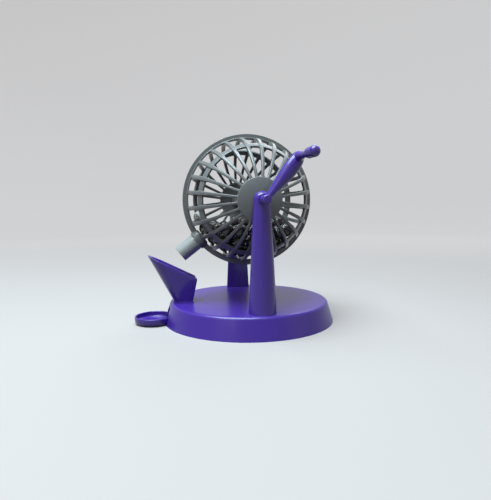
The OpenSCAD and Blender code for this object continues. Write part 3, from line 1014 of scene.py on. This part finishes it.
@dataclass
class Hopper:
    """The scoop: a leaning cone at the back, two flat sides that touch it, a flat front, a slanted mouth."""

    mouth_high: float = 58.5 * MM
    mouth_low: float = 29 * MM
    lip_out: float = 123.5 * MM
    lip_in: float = 65 * MM
    lip_bead: float = 0.9 * MM
    foot_out: float = 92.6 * MM
    foot_in: float = 70.8 * MM
    foot_half: float = 10.5 * MM
    slope: float = 0.115
    cone_tries: int = 12
    cone_points: int = 33
    front_share: float = 0.985
    past_mouth: float = 1.2
    wall: float = 2 * MM
    wall_rows: int = 9
    lip_rows: int = 9
    outer_edge: float = 1.5 * MM
    inner_edge: float = 0.8 * MM
    spigot: float = 4.6 * MM
    flange: float = 1.2 * MM
    flange_depth: float = 1.5 * MM
    deck_gap: float = 0.02 * MM
    hook_x: float = 77.7 * MM
    hook: float = 5 * MM
    hook_out: float = 1.4 * MM
    hook_root: float = 0.4 * MM
    hook_height: float = 2.15 * MM
    hook_edge: float = 0.3 * MM

    @property
    def cone(self) -> tuple[float, float]:
        """The leaning cone that both flat sides touch: lean = back - asin(k cos lean), by repetition.

        Returns:
            Lean of the cone's axis, and half its opening.
        """
        back = math.atan2(self.lip_out - self.foot_out, self.mouth_high)
        lean = 0.0
        for _ in range(self.cone_tries):
            lean = back - math.asin(self.slope / math.hypot(1, self.slope) * math.cos(lean))
        return lean, back - lean

    def outline(self, z: float, inset: float, cut: float) -> Array:
        """A level section: where the cone's lines meet the height z, then the front's two corners.

        The cone's lines run along n(f) = axis cos a + (e cos f + y sin f) sin a, from one side's touch to the
        other's.

        Args:
            z: The section's height.
            inset: How far the form is drawn in.
            cut: Softening of its corners.

        Returns:
            Points in the object's frame.
        """
        lean, half = self.cone
        back = lean + half
        axis = np.array([-math.sin(lean), 0, math.cos(lean)])
        apex_z = DECK_Z - self.foot_half / self.slope
        apex = np.array([-self.foot_out + (DECK_Z - apex_z) * math.tan(back), 0, apex_z])
        tip = apex + inset / math.sin(half) * axis
        touch = math.atan2(1, self.slope * math.sin(lean))
        sweep = np.linspace(touch, -touch, self.cone_points)[:, None]
        lines = axis * math.cos(half) + math.sin(half) * (
            np.cos(sweep) * [-math.cos(lean), 0, -math.sin(lean)] + np.sin(sweep) * [0, 1, 0]
        )
        arc = tip[:2] + lines[:, :2] * ((z - tip[2]) / lines[:, 2:])
        front = -self.foot_in - inset + (z - DECK_Z) * (self.foot_in - self.lip_in) / self.mouth_low
        width = self.front_share * self.slope * (z - tip[2])
        edge = softened([*map(tuple, arc), (front, -width), (front, width)], cut, steps=3)
        return np.column_stack([edge, np.full(len(edge), z)])

    def wall_lines(self, inset: float, cut: float) -> tuple[Array, Array]:
        """Feet of a wall's straight lines, and where they meet the slanted mouth.

        Args:
            inset: How far the wall's face is drawn in.
            cut: Softening of its corners.

        Returns:
            The lower and the upper ends of the lines.
        """
        low = self.outline(DECK_Z - self.spigot, inset, cut)
        run = self.outline(DECK_Z + self.past_mouth * self.mouth_high, inset, cut) - low
        rise = (self.mouth_high - self.mouth_low) / (self.lip_out - self.lip_in)
        lift = DECK_Z + self.mouth_low - rise * (low[:, 0] + self.lip_in) - low[:, 2]
        share = lift / (run[:, 2] + rise * run[:, 0])
        return low, low + run * share[:, None]

    def shell(self) -> Surface:
        """Both faces of the wall, joined by a half-round lip along the mouth and a flat foot.

        Returns:
            The scoop without its flange and hooks.
        """
        out_low, out_top = self.wall_lines(0.0, self.outer_edge)
        in_low, in_top = self.wall_lines(self.wall, self.inner_edge)

        def below(low: Array, top: Array) -> Array:
            """The end of a wall line just under the lip."""
            run = low - top
            return top + run * (self.lip_bead / np.linalg.norm(run, axis=1, keepdims=True))

        out_end, in_end = below(out_low, out_top), below(in_low, in_top)
        climb = np.linspace(0, 1, self.wall_rows)[:, None, None]
        sweep = np.linspace(0, math.pi, self.lip_rows)[1:-1, None, None]
        up = (out_top - out_end + in_top - in_end) / 2
        bead = (out_end + in_end) / 2 + (out_end - in_end) / 2 * np.cos(sweep) + up * np.sin(sweep)
        outside, inside = out_low + (out_end - out_low) * climb, in_end + (in_low - in_end) * climb
        return loop_of(np.concatenate([outside, bead, inside]))

    def foot_flange(self) -> Surface:
        """The thin flange that rests on the deck, from level sections by inset and height.

        Returns:
            The flange.
        """
        depth, out = self.flange_depth, self.flange
        outside = [(-out, self.deck_gap), (-out, 0.6 * depth), (-0.8 * out, 0.9 * depth), (-0.4 * out, depth)]
        stations = outside + [(0.4 * out, depth), (0.4 * out, self.deck_gap)]
        return loop_of(np.stack([self.outline(DECK_Z + h, inset, self.outer_edge) for inset, h in stations]))

    def hooks(self) -> Surface:
        """The two snap hooks under the deck: a softened outline carried along X.

        Returns:
            Both hooks.
        """
        root, tip = self.foot_half - self.wall, self.foot_half + self.hook_out
        corners = [
            (root, 0),
            (self.foot_half - self.hook_root, 0),
            (tip, self.hook_out),
            (tip, self.hook_height),
            (root, self.hook_height),
        ]
        edge = softened(corners, self.hook_edge)
        x = -self.hook_x + self.hook * np.array([-0.5, 0.5])
        z = DECK_Z - self.spigot + edge[None, :, 1]
        one = tube_of(np.stack(np.broadcast_arrays(x[:, None], edge[None, :, 0], z), -1))
        return one + one.mirrored(1.0, -1.0, 1.0)

    def build(self, finishes: Finishes) -> None:
        """Makes the hopper."""
        whole = self.shell() + self.foot_flange() + self.hooks()
        whole.piece("hopper_moulding", finishes.violet, Body.STAND, "violet_plastic", "hopper")


# The balls


STROKES: dict[str, list[tuple[float, float]]] = {
    "0": [(-0.28, 0), (-0.28, 0.54), (0.28, 0.54), (0.28, -0.54), (-0.28, -0.54), (-0.28, 0)],
    "1": [(-0.18, 0.28), (0.04, 0.5), (0.04, 0.5), (0.04, -0.5)],
    "2": [
        (-0.27, 0.26), (-0.24, 0.54), (0.28, 0.54), (0.3, 0.1), (-0.28, -0.5), (-0.28, -0.5),
        (0.29, -0.5),
    ],
    "3": [
        (-0.26, 0.36), (-0.1, 0.54), (0.28, 0.54), (0.26, 0.04), (-0.05, 0.04), (-0.05, 0.04),
        (0.33, 0.04), (0.3, -0.54), (-0.1, -0.56), (-0.28, -0.34),
    ],
    "4": [(0.13, -0.5), (0.13, 0.5), (0.13, 0.5), (-0.3, -0.2), (-0.3, -0.2), (0.3, -0.2)],
    "5": [
        (0.25, 0.5), (-0.2, 0.5), (-0.2, 0.5), (-0.24, 0.03), (-0.24, 0.03), (0.32, 0.22),
        (0.33, -0.52), (-0.1, -0.56), (-0.28, -0.36),
    ],
    "6": [
        (0.2, 0.48), (-0.14, 0.46), (-0.32, 0.06), (-0.28, -0.54), (0.28, -0.54), (0.32, 0.1),
        (-0.12, 0.14), (-0.26, -0.16),
    ],
    "7": [(-0.28, 0.5), (0.29, 0.5), (0.29, 0.5), (-0.08, -0.5)],
    "8": [
        (0, 0.04), (-0.32, 0.1), (-0.27, 0.54), (0.27, 0.54), (0.32, 0.1), (-0.36, -0.04),
        (-0.33, -0.55), (0.33, -0.55), (0.36, -0.04), (0, 0.04),
    ],
    "9": [
        (0.26, 0.16), (0.12, -0.14), (-0.32, -0.1), (-0.28, 0.54), (0.28, 0.54), (0.32, -0.06),
        (0.14, -0.46), (-0.2, -0.48),
    ],
}


def pen_line(control: list[tuple[float, float]], steps: int = 6) -> Array:
    """A smooth line from a control line; a control point given twice stays a corner.

    Each inner point P carries the curve (1 - s)^2 A + 2 s (1 - s) P + s^2 B between the middles A and B of
    its two legs, and the line's own ends take the place of the first A and the last B.

    Args:
        control: The control points.
        steps: Points for each inner control point.

    Returns:
        An array of points, two numbers each.
    """
    at = np.array(control, float)
    middle = (at[1:-2] + at[2:-1]) / 2
    start, end = np.vstack([at[:1], middle])[:, None], np.vstack([middle, at[-1:]])[:, None]
    s = np.linspace(0, 1, steps, endpoint=False)[None, :, None]
    curve = (1 - s) ** 2 * start + 2 * s * (1 - s) * at[1:-1, None] + s**2 * end
    return np.vstack([curve.reshape(-1, 2), at[-1:]])


@dataclass
class BallHeap:
    """Ninety numbered balls: a level heap of dark ones in layers of rings, and a white one on its left."""

    cage: float = 71 * MM
    ball: float = 7.5 * MM
    gap: float = 0.4 * MM
    rings: int = 4
    rise: float = 6.3 * MM
    lean: float = math.radians(2)
    layers: int = 3
    balls: int = 90
    seed: int = 90
    seam: float = 0.05 * MM
    seam_width: float = 0.05
    pole: float = 0.02
    ball_rows: int = 37
    ball_columns: int = 40
    side_number: int = 5
    side_turn: float = math.radians(25)
    side_spin: float = 0.25
    digit_height: float = 5.4 * MM
    digit_step: float = 0.72
    pen: float = 0.95 * MM
    ink: float = 0.03 * MM
    ink_sunk: float = 0.24 * MM

    @property
    def step(self) -> float:
        """Spacing of the balls."""
        return 2 * self.ball + self.gap

    @property
    def reach(self) -> float:
        """Distance of the outer layer's balls from the cage's centre."""
        return self.cage - self.step / 2 - self.gap / 2

    def tilt(self, ring: int, reach: float) -> float:
        """Tilt of a ring of balls from the heap's middle line."""
        return 2 * ring * math.asin(self.step / 2 / reach)

    def turns(self, ring_r: float) -> Array:
        """Turns of the balls of a ring round the heap's middle line, counted from the back.

        Args:
            ring_r: The ring's radius.

        Returns:
            One angle for each ball.
        """
        if ring_r < self.ball:
            return np.array([math.pi / 2])
        count = int(math.pi / math.asin((self.ball + self.gap / 20) / ring_r))
        space = min(FULL_TURN / count, 2 * math.asin(self.step / 2 / ring_r))
        return math.pi / 2 + (np.arange(count) + 0.5) * space

    def centres(self, tilt: float, turn: Array, reach: float) -> Array:
        """Centres of balls: the point (sin t cos a, sin t sin a, -cos t) R, leaned to the left.

        Args:
            tilt: The ring's tilt t.
            turn: The balls' turns a.
            reach: The layer's radius R.

        Returns:
            One point for each ball.
        """
        x, y = reach * math.sin(tilt) * np.cos(turn), reach * math.sin(tilt) * np.sin(turn)
        z = np.full_like(x, -reach * math.cos(tilt))
        c, s = math.cos(self.lean), math.sin(self.lean)
        return np.stack([x * c + z * s, y, z * c - x * s + AXLE_Z], -1)

    def layer(self, layer: int) -> Array:
        """Centres of the balls of one layer, up to the heap's level top.

        Args:
            layer: The layer, 0 for the outer one.

        Returns:
            One point for each ball.
        """
        reach = self.reach - layer * self.step
        top = AXLE_Z - self.reach * math.cos(self.tilt(self.rings, self.reach) + self.lean) + self.rise
        tilts = [self.tilt(ring, reach) for ring in range(int(math.pi / 2 / self.tilt(1, reach)) + 1)]
        at = np.vstack([self.centres(t, self.turns(reach * math.sin(t)), reach) for t in tilts])
        return at[at[:, 2] <= top]

    def side_place(self) -> Array:
        """The white ball's place, one ring above the ball that is farthest to the left.

        Returns:
            Its centre, as one row.
        """
        turns = self.turns(self.reach * math.sin(self.tilt(self.rings, self.reach)))
        nearest = turns[np.argmin(np.abs(turns - math.pi))]
        return self.centres(self.tilt(self.rings + 1, self.reach), np.array([nearest]), self.reach)

    def side_axis(self, at: Array, eye: Place) -> Array:
        """The direction of the white ball's number: towards the eye, turned to the left.

        Args:
            at: The ball's centre, as one row.
            eye: The point that it looks towards.

        Returns:
            A unit vector, as one row.
        """
        ahead = (np.array([eye]) - at) / np.linalg.norm(np.array([eye]) - at)
        left = np.cross(ahead, [[0.0, 0.0, 1.0]])
        axis = math.cos(self.side_turn) * ahead + math.sin(self.side_turn) * left
        return axis / np.linalg.norm(axis)

    def shape(self) -> Surface:
        """One ball round +Z: a sphere with the faint ridge R + h exp(-(t / w)^2) of its mould's seam.

        Returns:
            The ball.
        """
        polar = np.linspace(self.pole, math.pi - self.pole, self.ball_rows)
        ridge = self.seam * np.exp(-(((polar - math.pi / 2) / self.seam_width) ** 2))
        radius = self.ball + ridge
        return tube_of(lathe_rings(radius * np.sin(polar), radius * np.cos(polar), self.ball_columns))

    def numeral(self, number: int) -> Surface:
        """A number on both poles of a ball: a pen's flat ribbon along each digit, laid onto the sphere.

        A point (u, v) of a digit lands on (u, v, sqrt(R^2 - u^2 - v^2)), raised or sunk along the radius.

        Args:
            number: The number.

        Returns:
            The ribbons of all its digits.
        """
        digits = str(number)
        lift = 1 + np.array([self.ink, self.ink, -self.ink_sunk, -self.ink_sunk])[None, :, None] / self.ball
        ribbons = []
        for place, digit in enumerate(digits):
            line = pen_line(STROKES[digit]) * self.digit_height
            line = line + [(place - (len(digits) - 1) / 2) * self.digit_step * self.digit_height, 0]
            ahead = np.gradient(line, axis=0)
            ahead /= np.linalg.norm(ahead, axis=1, keepdims=True)
            aside = np.stack([-ahead[:, 1], ahead[:, 0]], -1) * self.pen / 2
            flat = np.stack([line + aside, line - aside, line - aside, line + aside], 1)
            height = np.sqrt(self.ball**2 - (flat**2).sum(-1, keepdims=True))
            ribbons.append(tube_of(np.concatenate([flat, height], -1) * lift))
        top = joined(ribbons)
        return top + top.mirrored(1.0, -1.0, -1.0)

    def build(self, finishes: Finishes, eye: Place) -> None:
        """Makes the balls of both CAD groups, the white ball and all numbers.

        Args:
            finishes: The object's finishes.
            eye: The place that the white ball's number faces, a little turned to the left.
        """
        chance = np.random.default_rng(self.seed)
        numbers = [n for n in chance.permutation(self.balls) + 1 if n != self.side_number]
        ball = self.shape()
        groups = {"low_balls": [0], "top_balls": list(range(1, self.layers))}
        for node, layers in groups.items():
            at = np.vstack([self.layer(layer) for layer in layers])
            axes = chance.normal(size=(len(at), 3))
            axes /= np.linalg.norm(axes, axis=1, keepdims=True)
            turn = axis_turn(axes, chance.uniform(0, FULL_TURN, len(at)))
            heap = ball.copies(turn, at)
            heap.piece(node + "_set", finishes.dark_ball, Body.STAND, "dark_ball_plastic", node)
            inked = [self.numeral(numbers.pop()).moved(matrix, place) for matrix, place in zip(turn, at)]
            joined(inked).piece(node + "_numbers", finishes.white_ink, Body.STAND, "ball_plastic")
        at = self.side_place()
        turn = axis_turn(self.side_axis(at, eye), np.array([self.side_spin]))
        side = ball.copies(turn, at)
        side.piece("white_ball", finishes.white_ball, Body.STAND, "ball_plastic", "side_ball")
        number = self.numeral(self.side_number).moved(turn[0], at[0])
        number.piece("white_ball_number", finishes.black_ink, Body.STAND, "dark_ball_plastic")


# The screws


@dataclass
class ScrewSet:
    """Pan-head screws with a cross recess and a helical thread, in the places of one CAD node.

    The cross and the thread are shares of the head's and the shank's radius.
    """

    node: str
    body: Body
    places: list[Place]
    axes: list[Place]
    radius: float = 1.5 * MM
    length: float = 12 * MM
    head: float = 3 * MM
    head_height: float = 2.1 * MM
    cross_half: float = 0.13
    cross_reach: float = 0.52
    cross_soft: float = 0.08
    cross_depth: float = 0.5
    pitch: float = 0.8
    pitch_rows: int = 7
    thread: float = 0.28
    top_rows: int = 13
    rim_rows: int = 7
    columns: int = 40
    spin_step: float = 2.4

    def screw(self) -> Surface:
        """One screw that points along +Z from its head's underside.

        Rows follow the turned outline from the middle of the head's top over its rim and along the shank. The
        top sinks where min(|x|, |y|) and max(|x|, |y|) lie inside the cross. The shank's radius is
        R - d (1 - w), where w is the triangle wave of z / pitch - angle / 2 pi.

        Returns:
            The screw.
        """
        rim = np.radians(np.linspace(0, 90, self.rim_rows)[1:])
        pitch = self.pitch * self.radius
        shank_end = self.length - self.radius
        shank = np.linspace(0, shank_end, int(self.pitch_rows * shank_end / pitch))
        flat = np.linspace(0.02, 1, self.top_rows) * (self.head - self.head_height)
        bend = self.head - self.head_height * (1 - np.sin(rim))
        radius = np.concatenate([flat, bend, np.full(len(shank), self.radius), [self.radius / 3]])
        fall = -self.head_height * np.cos(rim)
        height = np.concatenate([np.full(len(flat), -self.head_height), fall, shank, [self.length]])
        rings = lathe_rings(radius, height, self.columns)
        x, y = rings[..., 0], rings[..., 1]
        narrow, wide = np.minimum(np.abs(x), np.abs(y)), np.maximum(np.abs(x), np.abs(y))
        soft = self.cross_soft * self.head
        cross = np.clip((self.cross_half * self.head - narrow) / soft, 0, 1)
        cross *= np.clip((self.cross_reach * self.head - wide) / soft, 0, 1)
        cross[len(flat) + 2 :] = 0
        turn = np.linspace(0, 1, self.columns, endpoint=False)[None]
        wave = np.abs(2 * ((height[:, None] / pitch - turn) % 1) - 1)
        threaded = np.clip(np.minimum(height, shank_end - height)[:, None] / pitch, 0, 1)
        grown = 1 - threaded * (1 - wave) * self.thread
        rise = height[:, None] + self.cross_depth * self.head_height * cross
        return tube_of(np.stack([x * grown, y * grown, rise], -1))

    def build(self, finishes: Finishes) -> None:
        """Puts the screws in their places, each turned a little differently.

        Args:
            finishes: The object's finishes.
        """
        axes, at = np.array(self.axes, float), np.array(self.places, float)
        turn = axis_turn(axes, np.arange(len(at)) * self.spin_step)
        screws = self.screw().copies(turn, at)
        screws.piece(self.node + "_turned", finishes.steel, self.body, "steel", self.node)


def screw_sets() -> list[ScrewSet]:
    """All screws of the object, in the CAD's places.

    Returns:
        One set for each CAD node of screws.
    """
    sides = (-1, 1)
    up, down_axle = (0, 0, 1), (0, -1, 0)
    tray_x, tray_y, tray_z = -59.3 * MM, 8.6 * MM, 6.12 * MM
    tray = [(tray_x, tray_y * s, tray_z) for s in sides]
    post_x, post_y, post_z = 7.9 * MM, 85.14 * MM, 22.55 * MM
    post = [(post_x * s, post_y * t, post_z) for s in sides for t in sides]
    hub_y = 62.4 * MM
    hub = [(0, hub_y * s, AXLE_Z) for s in sides]
    rim_r, rim_y = 77.8 * MM, 2.05 * MM
    round_rim = np.radians(np.arange(6) * 60)
    rim = [(rim_r * math.cos(a), rim_y, AXLE_Z + rim_r * math.sin(a)) for a in round_rim]
    small = {"radius": 0.9 * MM, "length": 4 * MM, "head": 1.7 * MM, "head_height": 1 * MM}
    return [
        ScrewSet("tray_screws", Body.STAND, tray, [up] * len(tray), length=11 * MM),
        ScrewSet("post_screws", Body.STAND, post, [up] * len(post)),
        ScrewSet("hub_screws", Body.CAGE, hub, [(0, s, 0) for s in sides], length=10 * MM),
        ScrewSet("rim_screw_set", Body.CAGE, rim, [down_axle] * len(rim), **small),
    ]


# The studio


def put(data: bpy.types.ID, place: Place, axes: Array) -> bpy.types.Object:
    """Adds a camera or a lamp to the scene.

    Args:
        data: Its data.
        place: Where it stands.
        axes: A 3 by 3 matrix whose columns are its right, its up and its back.

    Returns:
        The new object.
    """
    thing = bpy.data.objects.new(data.name, data)
    turn = np.eye(4)
    turn[:3, :3] = axes
    turn[:3, 3] = place
    thing.matrix_world = Matrix(turn.tolist())
    bpy.context.scene.collection.objects.link(thing)
    return thing


@dataclass
class PhotoCamera:
    """The photograph's camera, placed in the object's frame."""

    place: Place = (-0.1082, -0.5544, 0.1455)
    pan: float = 10.7
    tilt: float = 6.0
    roll: float = -0.5
    focal_px: float = 454.5
    long_side_px: float = 500.0
    sensor: float = 36.0
    clip: tuple[float, float] = (0.01, 50.0)

    def build(self) -> None:
        """Makes the camera: right, up and back are the columns of its matrix."""
        pan, tilt, roll = (math.radians(a) for a in (self.pan, self.tilt, self.roll))
        ahead = np.array([math.sin(pan) * math.cos(tilt), math.cos(pan) * math.cos(tilt), -math.sin(tilt)])
        level = np.array([math.cos(pan), -math.sin(pan), 0.0])
        above = np.cross(level, ahead)
        right = math.cos(roll) * level + math.sin(roll) * above
        up = math.cos(roll) * above - math.sin(roll) * level
        data = bpy.data.cameras.new("photo_camera")
        data.sensor_width = self.sensor
        data.lens = self.focal_px * self.sensor / self.long_side_px
        data.clip_start, data.clip_end = self.clip
        bpy.context.scene.camera = put(data, self.place, np.stack([right, up, -ahead], -1))
        LOG.info("camera at %s", self.place)


@dataclass(frozen=True)
class Softbox:
    """A square soft lamp, by its side in metres, its power in watts and its light's colour."""

    name: str
    place: Place
    size: float
    power: float
    colour: Colour

    def build(self, aim: Place) -> None:
        """Makes the lamp and turns it to the point that it faces.

        Args:
            aim: The point.
        """
        data = bpy.data.lights.new(self.name, "AREA")
        data.size = self.size
        data.energy = self.power
        data.color = self.colour
        back = np.array(self.place) - np.array(aim)
        put(data, self.place, axis_turn((back / np.linalg.norm(back))[None], np.zeros(1))[0])


@dataclass
class Studio:
    """A pale seamless floor, soft lamps and an even pale surround.

    The paper glows towards its far parts, for the camera and reflections alone, to make up for the lamps'
    fall-off.
    """

    paper: Colour = (0.47, 0.42, 0.41)
    paper_drift: float = 0.015
    paper_roughness: float = 0.9
    paper_gloss: float = 0.1
    fibre_scale: float = 700.0
    fibre_share: float = 0.3
    cloud_scale: float = 1.5
    bounce: float = 0.15
    pale: Colour = (0.52, 0.52, 0.525)
    dim: Colour = (0.07, 0.066, 0.068)
    glow_near: tuple[float, float] = (0.3, 1.7)
    glow_far: tuple[float, float] = (1.5, 3.5)
    glow_share: float = 0.77
    flat: float = 1.6
    bend: float = 0.8
    wall: float = 5.0
    middle: float = 0.01
    bend_rows: int = 25
    steps: int = 96
    aim: Place = (0.0, 0.0, 0.12)
    lamps: tuple[Softbox, ...] = (
        Softbox("top_softbox", (-0.35, -0.20, 1.40), 1.0, 44.0, (0.76, 0.94, 1.0)),
        Softbox("key_softbox", (-0.85, -0.95, 0.75), 0.7, 2.0, (1.0, 0.93, 0.90)),
        Softbox("right_fill", (1.1, -0.7, 0.6), 0.8, 0.8, (1.0, 0.90, 0.87)),
        Softbox("back_fill", (0.6, 0.9, 1.2), 0.8, 6.0, (0.92, 0.96, 1.0)),
    )

    def backdrop(self, shader: Shader) -> Value:
        """Pale where it is seen, and dim where it lights the object."""
        return shader.blend(shader.seen(), self.dim, self.pale)

    def paper_finish(self) -> bpy.types.Material:
        """Paper that is seen evenly lit, and that throws little light on the object.

        Returns:
            The paper's material.
        """
        shader = Shader("studio_paper")
        fibre, cloud = shader.noise(self.fibre_scale, Detail.RICH), shader.noise(self.cloud_scale)
        mottle = fibre * self.fibre_share + cloud * (1 - self.fibre_share)
        pale = shader.varied(mottle, self.paper, 1 - self.paper_drift, 1 + self.paper_drift)
        away = shader.node("ShaderNodeVectorMath", {"operation": "LENGTH"}, {0: shader.place}, "Value")
        unlit = away.above(*self.glow_near) * self.glow_share
        unlit = unlit + away.above(*self.glow_far) * (1 - self.glow_share)
        return shader.surface(
            {
                "Base Color": shader.blend(shader.seen(), shade(self.paper, self.bounce), pale),
                "Roughness": self.paper_roughness,
                "Specular IOR Level": self.paper_gloss,
                "Emission Color": shader.blend(unlit, (0.0, 0.0, 0.0), self.backdrop(shader)),
                "Emission Strength": 1.0,
            }
        )

    def floor(self) -> None:
        """A round paper sweep: flat, then a quarter circle up to a wall, carried round +Z."""
        arc = np.radians(np.linspace(-90, 0, self.bend_rows))
        out = self.flat + self.bend
        radius = np.concatenate([[self.middle], self.flat + self.bend * np.cos(arc), [out]])
        height = np.concatenate([[0.0], self.bend * (1 + np.sin(arc)), [self.wall]])
        rings = lathe_rings(radius, height, self.steps)
        rows, columns = rings.shape[:2]
        sweep = Surface(rings.reshape(-1, 3), grid_quads(rows, columns), [list(range(columns))])
        paper = self.paper_finish()
        paper.cycles.emission_sampling = "NONE"
        sweep.shown("floor", paper)

    def surround(self) -> None:
        """A world that looks as pale as the paper, and that adds only a faint even light."""
        world = bpy.data.worlds.new("pale_surround")
        shader = Shader(world.name, world)
        background = shader.node("ShaderNodeBackground", None, {"Color": self.backdrop(shader)})
        shader.node("ShaderNodeOutputWorld", None, {"Surface": background})
        bpy.context.scene.world = world

    def build(self) -> None:
        """Makes the floor, the lamps and the world, and sets the plain view."""
        self.floor()
        for lamp in self.lamps:
            lamp.build(self.aim)
        self.surround()
        bpy.context.scene.view_settings.view_transform = "Standard"


def dress(nodes: tuple[str, ...], finish: bpy.types.Material) -> None:
    """Gives CAD nodes their finish.

    Args:
        nodes: The nodes' names.
        finish: Their material.
    """
    for node in nodes:
        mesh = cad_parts[node].data
        mesh.materials.clear()
        mesh.materials.append(finish)
        LOG.info("dressed %s in %s", node, finish.name)


def main() -> None:
    """Builds the studio and dresses the object, piece by piece."""
    logging.basicConfig(level=logging.INFO, format="%(message)s")
    camera = PhotoCamera()
    camera.build()
    Studio().build()
    finishes = Finishes()
    dress(("base",), finishes.deck)
    dress(("ball_tray", "rear_axle", "crank_knob"), finishes.violet)
    dress(("crank_shaft", "hub_washers", "knob_pin"), finishes.steel)
    Post("crank_post", Side.CRANK).build(finishes)
    Post("rear_post", Side.REAR).build(finishes)
    CrankArm().build(finishes)
    Hopper().build(finishes)
    Cage().build(finishes)
    BallHeap().build(finishes, camera.place)
    for screws in screw_sets():
        screws.build(finishes)


if __name__ == "__main__":
    main()
